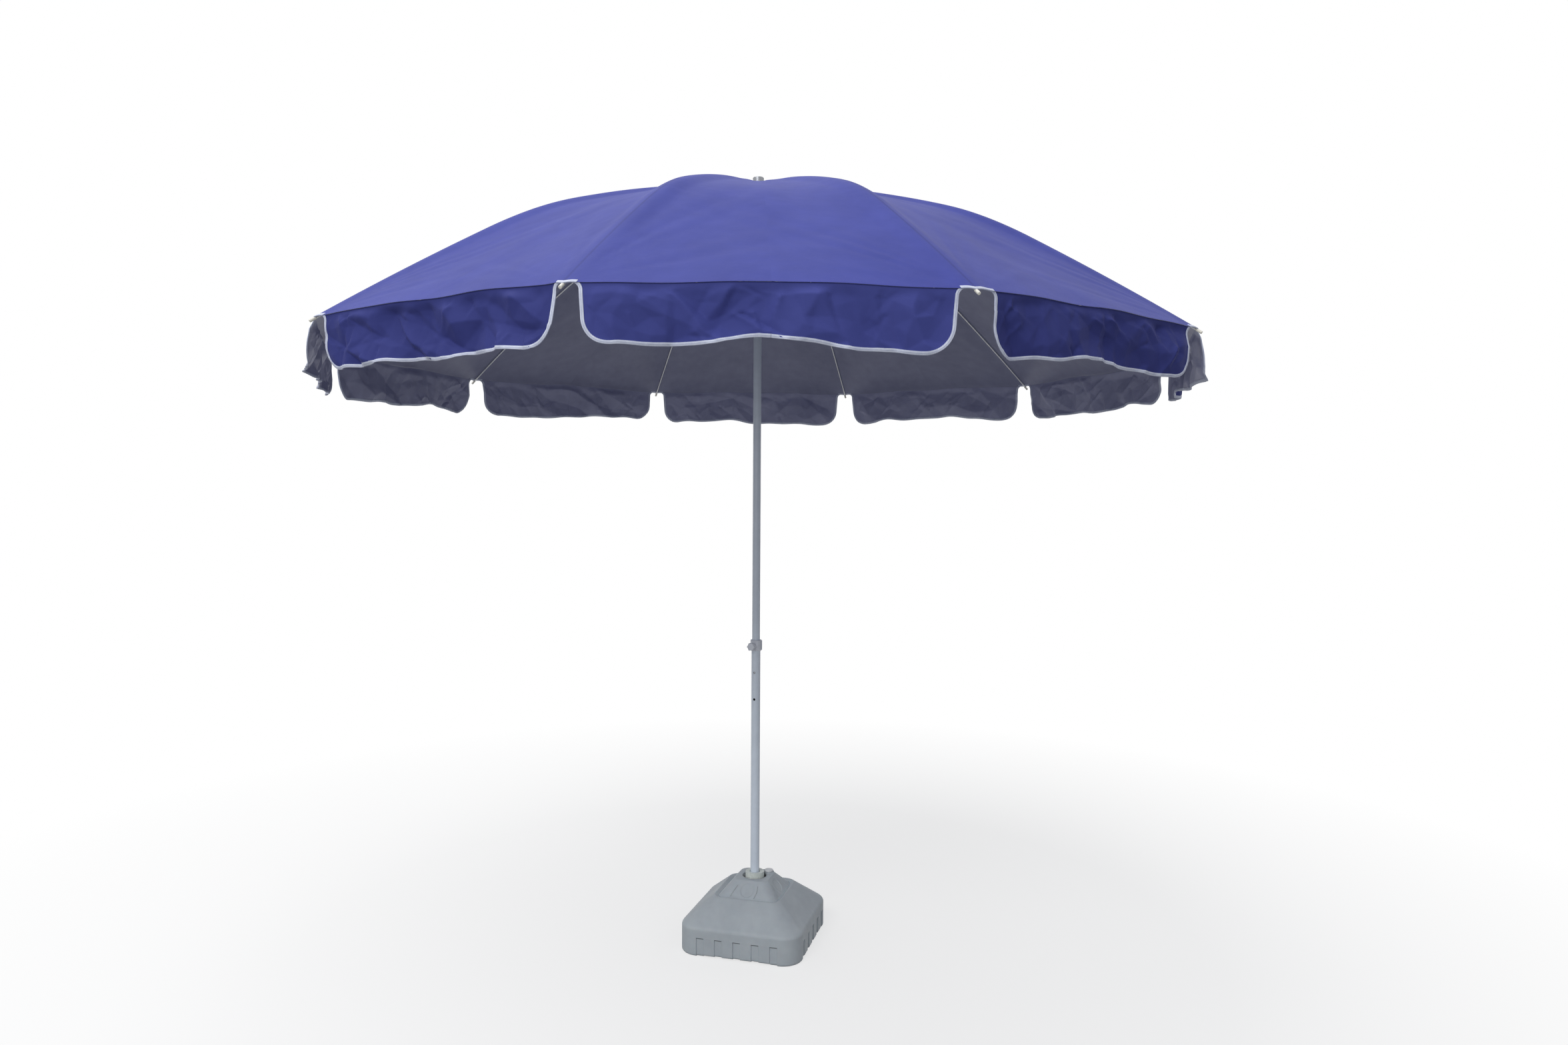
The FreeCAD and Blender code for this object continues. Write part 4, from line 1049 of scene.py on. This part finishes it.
def makeWorld():
    light = {"zenith": (0.95, 0.97, 1.0, 1.0), "front": (0.40, 0.41, 0.43, 1.0),
             "rear": (0.10, 0.10, 0.12, 1.0), "strength": 0.64}
    world = bpy.data.worlds.new("studio")
    world.use_nodes = True
    scene.world = world
    nodes = Nodes(world.node_tree)
    world.node_tree.nodes.clear()
    where = nodes.add("ShaderNodeTexCoord").outputs["Generated"]
    ways = nodes.parts(where)
    horizon = nodes.mix(nodes.span(ways[1], -0.9, 0.2), light["front"], light["rear"])
    tone = nodes.mix(nodes.span(ways[2], 0.0, 0.8), horizon, light["zenith"])
    soft = nodes.add("ShaderNodeBackground", Color=tone, Strength=light["strength"]).outputs[0]
    white = nodes.add("ShaderNodeBackground", Color=(1.0, 1.0, 1.0, 1.0), Strength=1.0).outputs[0]
    nodes.feed(nodes.add("ShaderNodeOutputWorld"), "Surface", nodes.blend(seenDirectly(nodes), soft, white))


def makeLight(name, place, aim, size, power, tone):
    data = bpy.data.lights.new(name, "AREA")
    data.shape = "RECTANGLE"
    data.size, data.size_y = size
    data.energy = power
    data.color = tone
    lamp = bpy.data.objects.new(name, data)
    lamp.location = place
    lamp.rotation_euler = (Vector(aim) - Vector(place)).to_track_quat("-Z", "Y").to_euler()
    scene.collection.objects.link(lamp)


def makeCamera():
    shot = {"place": (1.09412642, -3.62780495, 1.63038189), "yaw": -15.30816784, "pitch": -2.0352919,
            "roll": 0.34952129, "lens": 24.417}
    yaw, pitchAngle, roll = (math.radians(shot[key]) for key in ("yaw", "pitch", "roll"))
    level = math.cos(pitchAngle)
    forward = Vector((math.sin(yaw) * level, math.cos(yaw) * level, math.sin(pitchAngle)))
    right = Vector((math.cos(yaw), -math.sin(yaw), 0))
    up = right.cross(forward)
    turnedRight = right * math.cos(roll) + up * math.sin(roll)
    turnedUp = up * math.cos(roll) - right * math.sin(roll)
    data = bpy.data.cameras.new("camera")
    data.lens = shot["lens"]
    data.sensor_width = 36.0
    camera = bpy.data.objects.new("camera", data)
    camera.matrix_world = Matrix((turnedRight, turnedUp, -forward)).transposed().to_4x4()
    camera.location = shot["place"]
    scene.collection.objects.link(camera)
    scene.camera = camera


makeFloor()
makeWorld()
makeLight("overhead", (-1.6, -1.0, 7.0), (0, 0, 1.8), (5.0, 5.0), 155, (1.0, 0.99, 0.97))
makeLight("front", (-1.0, -9.7, 8.3), (0, 0, 1.0), (6.0, 3.4), 430, (1.0, 1.0, 1.0))
makeLight("fill", (0.0, -13.0, 2.0), (0, 0, 1.6), (8.0, 3.0), 115, (1.0, 1.0, 1.0))
makeCamera()
scene.view_settings.view_transform = "Standard"
scene.view_settings.look = "None"
print("stage: light and camera")
